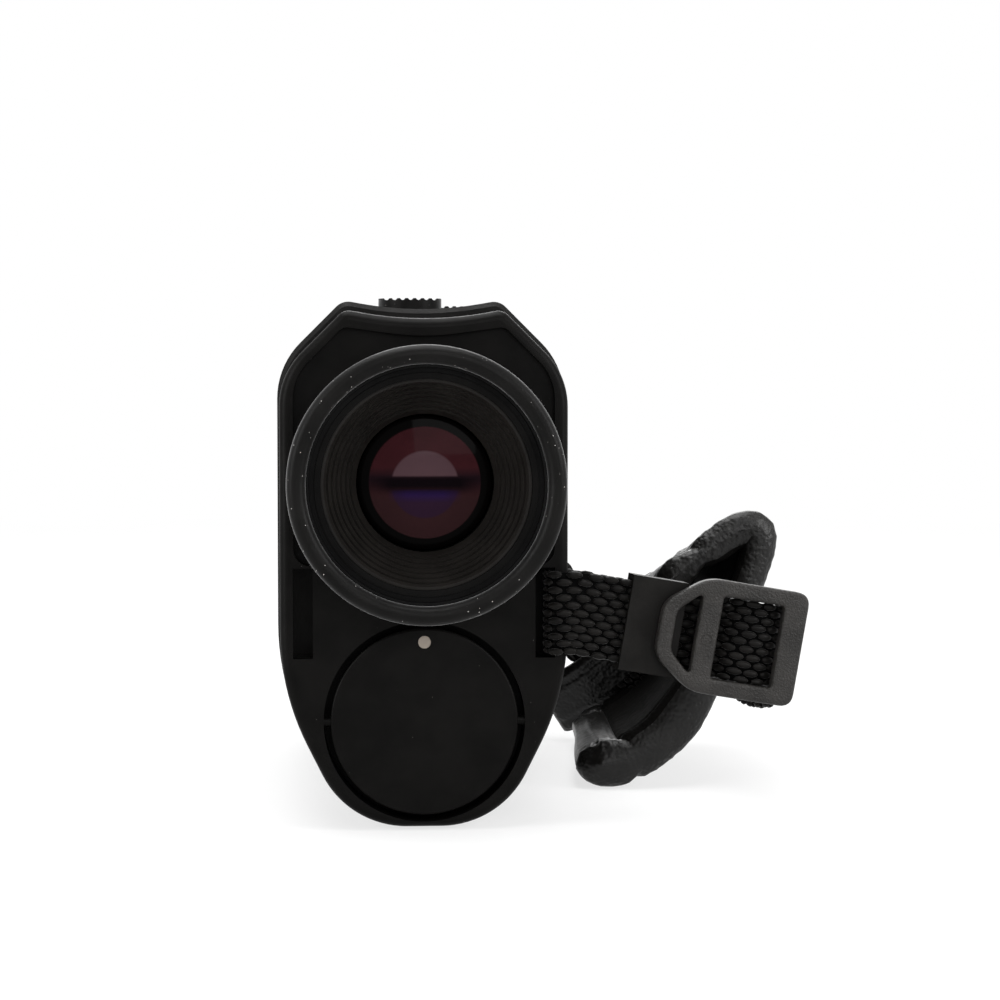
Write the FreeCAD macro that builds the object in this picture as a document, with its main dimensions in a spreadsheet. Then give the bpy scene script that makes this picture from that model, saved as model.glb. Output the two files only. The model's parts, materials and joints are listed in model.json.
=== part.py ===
import FreeCAD, Part
import math
import os
import re
import Sketcher
from FreeCAD import Placement, Rotation, Vector

# Laser rangefinder, upright body with a hand strap.
# +Z is up, +Y points at the target, -Y is the eyepiece end and +X is the strap side.
# The origin lies in the middle of the foot that the body stands on. Millimetres and degrees.

DIMENSIONS = {
    # casing
    "body_length": 114.0,
    "body_width": 51.0,
    "body_height": 92.0,
    "wall": 2.6,
    "flank_angle": 63.4,
    "flank_top": 24.0,
    "shoulder_angle": 45.0,
    "peak_offset": 13.9,
    "saddle_angle": 10.0,
    "foot_round": 17.0,
    "flank_round": 45.0,
    "shoulder_round": 14.0,
    "peak_round": 3.0,
    "saddle_round": 60.0,
    "cap_depth": 14.0,
    "cap_inset": 0.6,
    "cap_drop": 1.3,
    "cap_edge_round": 1.6,
    "bezel_depth": 10.0,
    "gasket_thickness": 0.8,
    "gasket_inset": 2.0,
    "seam_chamfer": 0.8,
    "face_recess": 1.4,
    "face_recess_bottom": 46.0,
    "face_rim": 3.0,
    "grip_thickness": 1.0,
    "grip_bottom": 36.0,
    "grip_top": 73.0,
    "grip_length": 72.0,
    "grip_corner": 7.0,
    # fits
    "running_gap": 0.05,
    "seat_gap": 0.1,
    "soft_gap": 0.3,
    # casing screws
    "screw_radius": 1.0,
    "screw_head_radius": 1.9,
    "screw_head_height": 1.3,
    "boss_radius": 3.2,
    "boss_length": 6.0,
    "screw_grip": 5.5,
    "upper_screw_inset": 9.0,
    "upper_screw_height": 82.5,
    "lower_screw_inset": 12.0,
    "lower_screw_height": 10.5,
    # eyepiece
    "sight_height": 60.5,
    "tube_radius": 18.8,
    "tube_wall": 1.0,
    "tube_reach": 12.5,
    "tube_flange": 1.8,
    "flange_thickness": 1.5,
    "bulkhead_place": 17.0,
    "cell_bore": 13.0,
    "baffle_length": 7.0,
    "aperture_radius": 11.75,
    "ridge_count": 7.0,
    "ridge_step": 0.35,
    "eye_lens_thickness": 6.0,
    "field_lens_thickness": 7.0,
    "lens_gap": 2.3,
    "ocular_curve": 40.0,
    "diopter_thickness": 4.3,
    "diopter_width": 4.3,
    "diopter_shift": 0.6,
    "rib_depth": 0.5,
    "rib_count": 40.0,
    "cam_thickness": 0.85,
    "sleeve_thickness": 1.15,
    "eyecup_reach": 16.0,
    "eyecup_thickness": 2.7,
    "eyecup_lip": 2.0,
    "eyecup_lip_width": 0.7,
    "eyecup_taper": 0.9,
    "eyecup_round": 1.6,
    # battery bay
    "battery_height": 19.0,
    "cover_radius": 16.2,
    "cover_thickness": 2.6,
    "cover_gap": 1.2,
    "bay_depth": 7.0,
    "trunnion_radius": 0.9,
    "trunnion_depth": 1.2,
    "dot_radius": 1.1,
    "dot_offset": 13.8,
    "dot_depth": 0.6,
    "contact_radius": 4.0,
    "contact_height": 1.8,
    "cell_radius": 7.8,
    "cell_length": 27.0,
    "cell_place": 6.0,
    "cell_nub": 1.0,
    "battery_wall": 1.2,
    # objective and emitter
    "objective_radius": 13.1,
    "objective_wall": 2.2,
    "objective_length": 35.0,
    "objective_setback": 1.5,
    "objective_curve": 60.0,
    "front_lens_thickness": 5.5,
    "rear_lens_thickness": 5.0,
    "emitter_height": 24.0,
    "emitter_radius": 10.5,
    "emitter_wall": 1.3,
    "emitter_length": 32.0,
    "emitter_curve": 40.0,
    "emitter_lens_thickness": 4.5,
    "diode_radius": 2.8,
    "retainer_length": 1.6,
    "ring_seat": 1.4,
    # chassis, prisms and boards
    "inner_half_width": 18.5,
    "chassis_height": 42.0,
    "chassis_thickness": 2.5,
    "bulkhead_thickness": 3.0,
    "bulkhead_top": 78.0,
    "front_bulkhead_place": 28.0,
    "stop_radius": 11.0,
    "prism_width": 24.0,
    "prism_height": 28.0,
    "prism_back": 12.0,
    "rear_prism_length": 26.0,
    "front_prism_length": 20.0,
    "prism_slant": 13.0,
    "prism_air": 0.6,
    "cradle_thickness": 2.4,
    "clip_thickness": 0.6,
    "board_thickness": 1.4,
    "board_gap": 1.0,
    # buttons
    "button_radius": 6.0,
    "button_place": -6.0,
    "button_offset": -1.0,
    "button_rise": 3.0,
    "mode_radius": 3.6,
    "mode_place": 14.0,
    "mode_offset": 7.5,
    "mode_rise": 2.0,
    "button_flange": 0.9,
    "button_travel": 1.0,
    "button_clearance": 0.15,
    "button_rib": 0.5,
    "button_rib_pitch": 1.5,
    "seal_thickness": 1.0,
    "seal_width": 2.2,
    "dome_radius": 3.0,
    "dome_height": 1.2,
    "switch_board_length": 48.0,
    # hand strap
    "strap_width": 14.4,
    "strap_thickness": 1.3,
    "slot_width": 3.4,
    "slot_height": 15.6,
    "slot_middle": 37.8,
    "bar_width": 2.9,
    "slot_depth": 8.0,
    "bar_depth": 3.2,
    "strap_pitch": 10.0,
    "strap_yaw": 6.0,
    "tab_yaw": -10.0,
    "strap_run": 41.0,
    "keeper_place": 8.8,
    "keeper_length": 9.8,
    "keeper_wall": 0.9,
    "buckle_place": 15.3,
    "buckle_length": 26.0,
    "buckle_width": 20.0,
    "buckle_nose": 9.5,
    "buckle_shoulder": 8.2,
    "buckle_thickness": 2.6,
    "buckle_rail": 2.4,
    "crossbar_place": 7.0,
    "crossbar_width": 3.6,
    "buckle_end": 4.0,
    "pad_rear_place": 41.0,
    "pad_front_place": 11.0,
}

os.makedirs("parts", exist_ok=True)
doc = FreeCAD.newDocument("laser_rangefinder")
sheet = doc.addObject("Spreadsheet::Sheet", "dims")
for row, (alias, value) in enumerate(DIMENSIONS.items(), start=1):
    sheet.set(f"A{row}", alias)
    sheet.set(f"B{row}", str(value))
    sheet.setAlias(f"B{row}", alias)
doc.recompute()

# Places along the body, as formulas of the sheet's values
REAR = "(-body_length / 2)"
FRONT = "(body_length / 2)"
CAP_FRONT = f"({REAR} + cap_depth)"
HOUSING_BACK = f"({CAP_FRONT} + gasket_thickness)"
BEZEL_BACK = f"({FRONT} - bezel_depth)"
HOUSING_FRONT = f"({BEZEL_BACK} - gasket_thickness)"
BULKHEAD = f"({REAR} + bulkhead_place)"
FRONT_BULKHEAD = f"({FRONT} - front_bulkhead_place)"
SADDLE_BOTTOM = "(body_height - peak_offset * tan(saddle_angle))"
PLANES = {"XY_Plane": (0, 1), "XZ_Plane": (0, 2), "YZ_Plane": (1, 2)}
made = []


def bind(formula):
    """A formula of the sheet's aliases, written the way the document wants it."""
    return re.sub(
        r"[a-z][a-z0-9_]*",
        lambda word: "dims." + word[0] if word[0] in DIMENSIONS else word[0],
        str(formula),
    )


def place(thing, x="0", y="0", z="0"):
    for axis, formula in zip("xyz", (x, y, z)):
        thing.setExpression("Placement.Base." + axis, bind(formula))


def new_body(name, x="0", y="0", z="0", keep=True):
    body = doc.addObject("PartDesign::Body", name)
    body.Label = name
    place(body, x, y, z)
    if keep:
        made.append(body)
    return body


def blank_sketch(body, plane, offset):
    """An empty sketch on one of the body's own planes, moved along the axis it faces."""
    support = [item for item in body.Origin.OriginFeatures if item.Role == plane][0]
    sketch = body.newObject("Sketcher::SketchObject", body.Name + "_sketch")
    sketch.AttachmentSupport = [(support, "")]
    sketch.MapMode = "FlatFace"
    sign = "-" if plane == "XZ_Plane" else ""
    sketch.setExpression("AttachmentOffset.Base.z", bind(f"{sign}({offset})"))
    return sketch


def add_loop(sketch, points):
    """A closed loop of straight lines through points, each point a pair of formulas."""
    count = len(points)
    first = sketch.GeometryCount
    corners = [Vector(10, 0, 0)] * count
    for index in range(count):
        turn = 2 * math.pi * index / count
        corners[index] = Vector(10 * math.cos(turn), 10 * math.sin(turn), 0)
    for index in range(count):
        sketch.addGeometry(Part.LineSegment(corners[index], corners[(index + 1) % count]), False)
    rules = []
    for index in range(count):
        line, following = first + index, first + (index + 1) % count
        rules.append(Sketcher.Constraint("Coincident", line, 2, following, 1))
        rules.append(Sketcher.Constraint("DistanceX", -1, 1, line, 1, corners[index].x))
        rules.append(Sketcher.Constraint("DistanceY", -1, 1, line, 1, corners[index].y))
    start = sketch.ConstraintCount
    sketch.addConstraint(rules)
    for index in range(count):
        for part in (0, 1):
            number = start + 3 * index + 1 + part
            sketch.setExpression(f"Constraints[{number}]", bind(points[index][part]))
    return sketch


def outline(body, plane, points, offset="0"):
    return add_loop(blank_sketch(body, plane, offset), points)


def pad(body, sketch, length, reverse=False, middle=False):
    feature = body.newObject("PartDesign::Pad", body.Name + "_pad")
    feature.Profile = sketch
    feature.Reversed = reverse
    feature.SideType = "Symmetric" if middle else "One side"
    feature.setExpression("Length", bind(length))
    return feature


def revolve(body, sketch):
    """Turns an XY profile (radius, place along Y) about the body's own Y axis."""
    feature = body.newObject("PartDesign::Revolution", body.Name + "_turned")
    feature.Profile = sketch
    feature.ReferenceAxis = (sketch, ["V_Axis"])
    feature.Angle = 360
    return feature


def round_edges(body, radius, test, kind="Fillet"):
    doc.recompute()
    base = body.Tip
    edges = [f"Edge{n}" for n, edge in enumerate(base.Shape.Edges, 1) if test(edge)]
    feature = body.newObject("PartDesign::" + kind, body.Name + "_" + kind.lower())
    feature.Base = (base, edges)
    feature.setExpression("Radius" if kind == "Fillet" else "Size", bind(radius))
    return feature


def round_corners(body, sketch, plane, corners):
    """Rounds the prism edges that stand on the sketch's corners: {corner number: radius}."""
    across, up = PLANES[plane]
    for radius in dict.fromkeys(corners.values()):
        doc.recompute()
        spots = [sketch.Geometry[n].StartPoint for n, value in corners.items() if value == radius]

        def stands_on_corner(edge):
            low, high = edge.Vertexes[0].Point, edge.Vertexes[-1].Point
            if abs(low[across] - high[across]) + abs(low[up] - high[up]) > 1e-6:
                return False
            return any(math.hypot(low[across] - s.x, low[up] - s.y) < 1e-4 for s in spots)

        round_edges(body, radius, stands_on_corner)


def turned(name, profile, z, x="0"):
    """A turned piece about an axis along Y, from (radius, place along Y) points."""
    body = new_body(name, x=x, z=z)
    revolve(body, outline(body, "XY_Plane", profile))
    return body


def tube(name, outer, inner, back, front, z, x="0"):
    return turned(name, [(inner, back), (outer, back), (outer, front), (inner, front)], z, x)


def disc(name, radius, back, front, z, x="0"):
    return turned(name, [("0", back), (radius, back), (radius, front), ("0", front)], z, x)


def lens(name, radius, back, thickness, curve, z):
    """A biconvex lens: a cylinder trimmed by two spheres."""
    blank = doc.addObject("Part::Cylinder", name + "_blank")
    blank.Placement = Placement(Vector(), Rotation(Vector(1, 0, 0), -90))
    blank.setExpression("Radius", bind(radius))
    blank.setExpression("Height", bind(thickness))
    place(blank, "0", back, z)
    balls = []
    for side, centre in (("back", f"{back} + {curve}"), ("front", f"{back} + {thickness} - {curve}")):
        ball = doc.addObject("Part::Sphere", f"{name}_{side}")
        ball.Placement = Placement(Vector(), Rotation(Vector(1, 0, 0), 90))
        ball.setExpression("Radius", bind(curve))
        place(ball, "0", centre, z)
        balls.append(ball)
    whole = doc.addObject("Part::MultiCommon", name)
    whole.Label = name
    whole.Shapes = [blank] + balls
    made.append(whole)
    return whole


def block(name, low, high, keep=True):
    """A box between two corners given as formulas."""
    box = doc.addObject("Part::Box", name)
    box.Label = name
    for size, start, end in zip(("Length", "Width", "Height"), low, high):
        box.setExpression(size, bind(f"({end}) - ({start})"))
    place(box, *low)
    if keep:
        made.append(box)
    return box


def section(inset="0", drop="0"):
    """The casing's outline seen along Y, moved inwards by inset and lowered at the top by drop."""
    half = f"(body_width / 2 - {inset})"
    foot = f"(body_width / 2 - flank_top / tan(flank_angle) - {inset} * tan(flank_angle / 2))"
    flank = f"(flank_top + {inset} * tan((90 - flank_angle) / 2))"
    lift = f"({inset} * (1 - sin(shoulder_angle)) / cos(shoulder_angle))"
    shoulder = f"(body_height - (body_width / 2 - peak_offset) * tan(shoulder_angle) - {drop} - {lift})"
    peak = f"(peak_offset + {inset} * (cos(shoulder_angle) - cos(saddle_angle))" \
           f" / sin(shoulder_angle + saddle_angle))"
    peak_fall = f"({inset} * (sin(shoulder_angle) + sin(saddle_angle))" \
                f" / sin(shoulder_angle + saddle_angle))"
    peak_top = f"(body_height - {drop} - {peak_fall})"
    dip = f"({SADDLE_BOTTOM} - {drop} - {inset} / cos(saddle_angle))"
    right = [(foot, inset), (half, flank), (half, shoulder), (peak, peak_top)]
    left = [(f"-{across}", up) for across, up in reversed(right)]
    return right + [("0", dip)] + left


def section_rounds(inset="0"):
    rounds = {"foot": f"foot_round - {inset}", "flank": f"flank_round - {inset}",
              "shoulder": f"shoulder_round - {inset}", "peak": f"max(peak_round - {inset}; 0.4)"}
    order = ["foot", "flank", "shoulder", "peak"]
    corners = {number: rounds[key] for number, key in enumerate(order)}
    corners[4] = f"saddle_round + {inset}"
    corners.update({5 + number: rounds[key] for number, key in enumerate(reversed(order))})
    return corners


def casing_prism(name, back, length, inset="0", drop="0", keep=True):
    body = new_body(name, y=back, keep=keep)
    sketch = outline(body, "XZ_Plane", section(inset, drop))
    pad(body, sketch, length, reverse=True)
    round_corners(body, sketch, "XZ_Plane", section_rounds(inset))
    return body


def edges_at_end(body, value_formula):
    """A test that picks the edges lying in the plane y = value of the body's own frame."""
    value = float(body.evalExpression(bind(value_formula)))
    return lambda edge: all(abs(corner.Point.y - value) < 1e-4 for corner in edge.Vertexes)


def rod(name, radius, back, front, z, x="0"):
    """A cylinder along Y that serves as a tool or as part of a bigger piece."""
    bar = doc.addObject("Part::Cylinder", name)
    bar.Placement = Placement(Vector(), Rotation(Vector(1, 0, 0), -90))
    bar.setExpression("Radius", bind(radius))
    bar.setExpression("Height", bind(f"({front}) - ({back})"))
    place(bar, x, back, z)
    return bar


def post(name, radius, x, y, bottom, top):
    """A cylinder along Z that serves as a tool or as part of a bigger piece."""
    bar = doc.addObject("Part::Cylinder", name)
    bar.setExpression("Radius", bind(radius))
    bar.setExpression("Height", bind(f"({top}) - ({bottom})"))
    place(bar, x, y, bottom)
    return bar


def cut(name, base, tools, keep=True):
    whole = doc.addObject("Part::Cut", name)
    whole.Label = name
    whole.Base = base
    whole.Tool = tools[0]
    if len(tools) > 1:
        together = doc.addObject("Part::MultiFuse", name + "_tools")
        together.Shapes = tools
        whole.Tool = together
    if keep:
        made.append(whole)
    return whole


def fused(name, pieces, keep=False):
    whole = doc.addObject("Part::MultiFuse", name)
    whole.Label = name
    whole.Shapes = pieces
    if keep:
        made.append(whole)
    return whole


def grouped(name, pieces):
    """Separate solids that share one node."""
    whole = doc.addObject("Part::Compound", name)
    whole.Label = name
    whole.Links = pieces
    made.append(whole)
    return whole


SCREW_SPOTS = [
    ("body_width / 2 - upper_screw_inset", "upper_screw_height"),
    ("-body_width / 2 + upper_screw_inset", "upper_screw_height"),
    ("body_width / 2 - lower_screw_inset", "lower_screw_height"),
    ("-body_width / 2 + lower_screw_inset", "lower_screw_height"),
]
BUTTONS = {
    "measure": ("button_offset", "button_place", "button_radius", "button_rise"),
    "mode": ("mode_offset", "mode_place", "mode_radius", "mode_rise"),
}


def rods(name, spots, radius, back, front):
    return [rod(f"{name}_{n}", radius, back, front, z, x) for n, (x, z) in enumerate(spots)]


def slot_tools(name, face, inward):
    """The strap passage round the corner bar, both sides; inward is +1 at the rear end, -1 in front."""
    low, high = "slot_middle - slot_height / 2", "slot_middle + slot_height / 2"
    tools = []
    for side, sign in (("right", 1), ("left", -1)):
        inner, outer = "body_width / 2 - bar_width - slot_width", "body_width / 2 - bar_width"
        air = "body_width / 2 + 2"
        mouth_y = sorted_pair(face, f"{face} + {inward} * slot_depth", inward)
        way_y = sorted_pair(f"{face} + {inward} * bar_depth", f"{face} + {inward} * slot_depth", inward)
        for part, (start, end), (near, far) in (("mouth", (inner, outer), mouth_y), ("way", (inner, air), way_y)):
            if sign < 0:
                start, end = f"-({end})", f"-({start})"
            tools.append(block(f"{name}_{side}_{part}", (start, near, low), (end, far, high), keep=False))
    return tools


def sorted_pair(first, second, order):
    return (first, second) if order > 0 else (second, first)


# Casing
HOUSING_LENGTH = f"({HOUSING_FRONT} - {HOUSING_BACK})"
outer_form = casing_prism("housing_outer", HOUSING_BACK, HOUSING_LENGTH, keep=False)
round_edges(outer_form, "seam_chamfer", edges_at_end(outer_form, "0"), "Chamfer")
hollow = casing_prism("housing_hollow", HOUSING_BACK, HOUSING_LENGTH, inset="wall", keep=False)
bosses = rods("rear_boss", SCREW_SPOTS, "boss_radius", HOUSING_BACK, f"{HOUSING_BACK} + boss_length")
bosses += rods("front_boss", SCREW_SPOTS, "boss_radius", f"{HOUSING_FRONT} - boss_length", HOUSING_FRONT)
BOARD_PLACES = [f"(button_place - button_radius - 7)", f"(mode_place + mode_radius + 6)"]
SWITCH_BOARD_TOP = "(body_height - 9.8)"
for n, y in enumerate(BOARD_PLACES):
    bosses.append(post(f"board_boss_{n}", "boss_radius - 1", "0", y, SWITCH_BOARD_TOP, f"{SADDLE_BOTTOM} - 0.5"))
shell = fused("housing_shell", [cut("housing_tube", outer_form, [hollow], keep=False)] + bosses)
openings = rods("housing_screw_hole", SCREW_SPOTS, "screw_radius + running_gap", HOUSING_BACK, HOUSING_FRONT)
for label, (x, y, radius, rise) in BUTTONS.items():
    openings.append(post(f"{label}_hole", f"{radius} + button_clearance", x, y, "body_height - wall * 3",
                         "body_height + 1"))
for n, y in enumerate(BOARD_PLACES):
    openings.append(post(f"board_screw_hole_{n}", "screw_radius + running_gap", "0", y, SWITCH_BOARD_TOP,
                         f"{SWITCH_BOARD_TOP} + screw_grip"))


def grip_form(name, side, shrink, keep):
    """A rounded panel let into the casing's side; side is 1 or -1."""
    near = "body_width / 2 - grip_thickness" if side > 0 else "-body_width / 2"
    body = new_body(name, x=near, keep=keep)
    low, high = f"grip_bottom + {shrink}", f"grip_top - {shrink}"
    back, front = f"-grip_length / 2 + {shrink}", f"grip_length / 2 - {shrink}"
    sketch = outline(body, "YZ_Plane", [(back, low), (front, low), (front, high), (back, high)])
    pad(body, sketch, "grip_thickness")
    round_corners(body, sketch, "YZ_Plane", {n: f"grip_corner - {shrink}" for n in range(4)})
    return body


for side, word in ((1, "right"), (-1, "left")):
    openings.append(grip_form(f"grip_recess_{word}", side, "0", keep=False))
    grip_form(f"side_grip_{word}", side, "running_gap", keep=True)
cut("main_housing", shell, openings)

# Rear cap with the eyepiece bore, the battery bay and the strap passages
cap_form = casing_prism("cap_form", REAR, "cap_depth", "cap_inset", "cap_drop", keep=False)
round_edges(cap_form, "cap_edge_round", edges_at_end(cap_form, "0"))
recess = new_body("cap_recess", y=REAR, keep=False)
recess_half = "(body_width / 2 - face_rim)"
recess_peak = "(body_height - cap_drop - face_rim * 1.2)"
recess_shoulder = f"({recess_peak} - ({recess_half} - peak_offset) * tan(shoulder_angle))"
recess_dip = f"({recess_peak} - peak_offset * tan(saddle_angle) + 0.6)"
recess_right = [(recess_half, "face_recess_bottom"), (recess_half, recess_shoulder), ("peak_offset", recess_peak)]
recess_left = [(f"-{x}", z) for x, z in reversed(recess_right)]
recess_sketch = outline(recess, "XZ_Plane", recess_right + [("0", recess_dip)] + recess_left)
pad(recess, recess_sketch, "face_recess", reverse=True)
round_corners(recess, recess_sketch, "XZ_Plane", {0: "3", 6: "3", 1: "9", 5: "9", 2: "2", 4: "2", 3: "40"})
cap_tools = [
    recess,
    rod("cap_sight_bore", "tube_radius + running_gap", REAR, CAP_FRONT, "sight_height"),
    rod("cap_bay", "cover_radius + cover_gap", REAR, f"{REAR} + bay_depth", "battery_height"),
    rod("cap_battery_bore", "cell_radius + seat_gap * 3 + battery_wall", REAR, CAP_FRONT, "battery_height"),
]
trunnion_y = f"({REAR} + cover_thickness / 2)"
pivot_hole = doc.addObject("Part::Cylinder", "cap_pivot_hole")
pivot_hole.Placement = Placement(Vector(), Rotation(Vector(0, 1, 0), 90))
pivot_hole.setExpression("Radius", bind("trunnion_radius + running_gap"))
pivot_hole.setExpression("Height", bind("2 * (cover_radius + cover_gap + trunnion_depth + seat_gap)"))
place(pivot_hole, "-(cover_radius + cover_gap + trunnion_depth + seat_gap)", trunnion_y, "battery_height")
cap_tools.append(pivot_hole)
cap_tools += rods("cap_screw_hole", SCREW_SPOTS, "screw_radius + running_gap", f"{CAP_FRONT} - screw_grip", CAP_FRONT)
cap_tools += slot_tools("rear_slot", REAR, 1)
cut("rear_cap", cap_form, cap_tools)

# Front bezel
bezel_form = casing_prism("bezel_form", BEZEL_BACK, "bezel_depth", "cap_inset", "cap_drop", keep=False)
round_edges(bezel_form, "cap_edge_round", edges_at_end(bezel_form, "bezel_depth"))
OBJECTIVE_OUTER = "(objective_radius + objective_wall)"
EMITTER_OUTER = "(emitter_radius + emitter_wall)"
bezel_tools = [
    rod("bezel_sight_bore", f"{OBJECTIVE_OUTER} + running_gap", BEZEL_BACK, FRONT, "sight_height"),
    rod("bezel_emitter_bore", f"{EMITTER_OUTER} + running_gap", BEZEL_BACK, FRONT, "emitter_height"),
]
bezel_tools += rods("bezel_screw_hole", SCREW_SPOTS, "screw_radius + running_gap", BEZEL_BACK, FRONT)
bezel_tools += rods("bezel_head_seat", SCREW_SPOTS, "screw_head_radius + seat_gap",
                    f"{FRONT} - screw_head_height - 0.5", FRONT)
bezel_tools += slot_tools("front_slot", FRONT, -1)
cut("front_bezel", bezel_form, bezel_tools)

# Gaskets between the casing's three pieces
for name, back, lower_radius, lower_height, upper_radius in (
    ("rear_gasket", CAP_FRONT, "cell_radius + seat_gap * 3 + battery_wall + soft_gap", "battery_height",
     "tube_radius + tube_flange + soft_gap"),
    ("front_gasket", HOUSING_FRONT, f"{EMITTER_OUTER} + soft_gap", "emitter_height",
     f"{OBJECTIVE_OUTER} + soft_gap"),
):
    sheet_form = casing_prism(name + "_form", back, "gasket_thickness", "gasket_inset", "cap_drop", keep=False)
    front = f"{back} + gasket_thickness"
    holes = [rod(name + "_lower", lower_radius, back, front, lower_height),
             rod(name + "_upper", upper_radius, back, front, "sight_height")]
    holes += rods(name + "_screw", SCREW_SPOTS, "screw_radius + running_gap", back, front)
    cut(name, sheet_form, holes)


def screws(name, spots, tip, seat):
    """Cap screws along Y in one node: the shank runs from tip to seat, the head sits beyond it."""
    pieces = []
    for n, (x, z) in enumerate(spots):
        shank = rod(f"{name}_shank_{n}", "screw_radius", tip, seat, z, x)
        head_end = f"{seat} + screw_head_height"
        head = rod(f"{name}_head_{n}", "screw_head_radius", seat, head_end, z, x)
        socket = rod(f"{name}_socket_{n}", "screw_head_radius / 2", f"{head_end} - screw_head_height / 2", head_end, z, x)
        pieces.append(cut(f"{name}_{n}", fused(f"{name}_solid_{n}", [shank, head]), [socket], keep=False))
    grouped(name, pieces)


screws("rear_cap_screws", SCREW_SPOTS, f"{CAP_FRONT} - screw_grip + seat_gap", f"{HOUSING_BACK} + boss_length")
screws("front_bezel_screws", SCREW_SPOTS, f"{HOUSING_FRONT} - boss_length + seat_gap",
       f"{FRONT} - screw_head_height - 0.5")

# Eyepiece: fixed tube, dioptre ring, lens cell and twist-up eyecup
TUBE_BACK = f"({REAR} - tube_reach)"
TUBE_BORE = "(tube_radius - tube_wall)"
turned("eyepiece_tube", [
    (TUBE_BORE, TUBE_BACK), ("tube_radius", TUBE_BACK), ("tube_radius", CAP_FRONT),
    ("tube_radius + tube_flange", CAP_FRONT), ("tube_radius + tube_flange", f"{CAP_FRONT} + flange_thickness"),
    ("tube_radius", f"{CAP_FRONT} + flange_thickness"), ("tube_radius", BULKHEAD), (TUBE_BORE, BULKHEAD),
], "sight_height")
RING_FRONT = f"({REAR} - soft_gap)"
RING_BACK = f"({RING_FRONT} - diopter_thickness)"
RING_OUTER = "(tube_radius + diopter_width)"
ring_blank = tube("ring_blank", RING_OUTER, "tube_radius + running_gap", RING_BACK, RING_FRONT, "sight_height")
made.remove(ring_blank)
grooves = []
for n in range(int(DIMENSIONS["rib_count"])):
    turn = f"360 / rib_count * {n}"
    grooves.append(rod(f"ring_groove_{n}", "rib_depth", f"{RING_BACK} - 1", f"{RING_FRONT} + 1",
                       f"sight_height + ({RING_OUTER} + rib_depth * 0.3) * sin({turn})",
                       f"({RING_OUTER} + rib_depth * 0.3) * cos({turn})"))
cut("diopter_ring", ring_blank, grooves)
CELL_BACK = f"({TUBE_BACK} + baffle_length + 1)"
CELL_FRONT = f"({BULKHEAD} - diopter_shift * 4)"
CELL_OUTER = f"({TUBE_BORE} - running_gap)"
tube("ocular_cell", CELL_OUTER, "cell_bore", CELL_BACK, CELL_FRONT, "sight_height")

# The ridged baffle: a funnel whose wall falls in equal steps from the rim to the aperture
baffle_back = f"({CELL_BACK} - baffle_length)"
funnel_rim = f"({CELL_OUTER} - 0.5)"
ridges = int(DIMENSIONS["ridge_count"])
funnel = []
for n in range(ridges):
    share, following = f"{n} / ridge_count", f"{n + 1} / ridge_count"
    fall = f"({funnel_rim} - aperture_radius)"
    radius = f"({funnel_rim} - {fall} * {share})"
    lower = f"({funnel_rim} - {fall} * {following})"
    depth = f"({baffle_back} + (baffle_length - 1) * {share})"
    deeper = f"({baffle_back} + (baffle_length - 1) * {following})"
    funnel.append((radius, depth))
    funnel.append((f"({lower} + ridge_step)", f"({deeper} + ridge_step / 2)"))
funnel.append(("aperture_radius", CELL_BACK))
turned("ocular_baffle", [(CELL_OUTER, CELL_BACK), (CELL_OUTER, baffle_back)] + funnel, "sight_height")
lens_radius = "(cell_bore - running_gap)"
eye_back = f"({CELL_BACK} + 0.2)"
field_back = f"({eye_back} + eye_lens_thickness + lens_gap)"
sag = "(ocular_curve - sqrt(ocular_curve ^ 2 - (cell_bore - ring_seat) ^ 2))"
lens("eye_lens", lens_radius, eye_back, "eye_lens_thickness", "ocular_curve", "sight_height")
lens("field_lens", lens_radius, field_back, "field_lens_thickness", "ocular_curve", "sight_height")
tube("ocular_spacer", lens_radius, "cell_bore - ring_seat", f"{eye_back} + eye_lens_thickness - {sag}",
     f"{field_back} + {sag}", "sight_height")
tube("ocular_retainer", lens_radius, "cell_bore - ring_seat", f"{field_back} + field_lens_thickness - {sag}",
     f"{field_back} + field_lens_thickness - {sag} + retainer_length", "sight_height")

# Eyecup: a cam ring turns on the tube, the sleeve rides on it and carries the rubber
CUP_FRONT = f"({RING_BACK} - soft_gap)"
CUP_BACK = f"({REAR} - eyecup_reach)"
CAM_OUTER = "(tube_radius + running_gap + cam_thickness)"
SLEEVE_INNER = f"({CAM_OUTER} + running_gap)"
SLEEVE_OUTER = f"({SLEEVE_INNER} + sleeve_thickness)"
SLEEVE_BACK = f"({CUP_BACK} + eyecup_lip)"
CUP_OUTER = f"({SLEEVE_OUTER} + eyecup_thickness)"
LIP_RADIUS = f"({SLEEVE_OUTER} - eyecup_lip_width)"
tube("eyecup_cam_ring", CAM_OUTER, "tube_radius + running_gap", f"{TUBE_BACK} + 0.3", CUP_FRONT, "sight_height")
tube("eyecup_sleeve", SLEEVE_OUTER, SLEEVE_INNER, SLEEVE_BACK, CUP_FRONT, "sight_height")
eyecup = turned("eyecup_rubber", [
    (LIP_RADIUS, CUP_BACK), (CUP_OUTER, CUP_BACK),
    (f"{CUP_OUTER} - eyecup_taper", CUP_FRONT), (SLEEVE_OUTER, CUP_FRONT),
    (SLEEVE_OUTER, SLEEVE_BACK), (LIP_RADIUS, SLEEVE_BACK),
], "sight_height")
cup_back = float(eyecup.evalExpression(bind(CUP_BACK)))
round_edges(eyecup, "eyecup_round", lambda edge: all(abs(v.Point.y - cup_back) < 1e-4 for v in edge.Vertexes)
            and edge.Length > 1)

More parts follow.
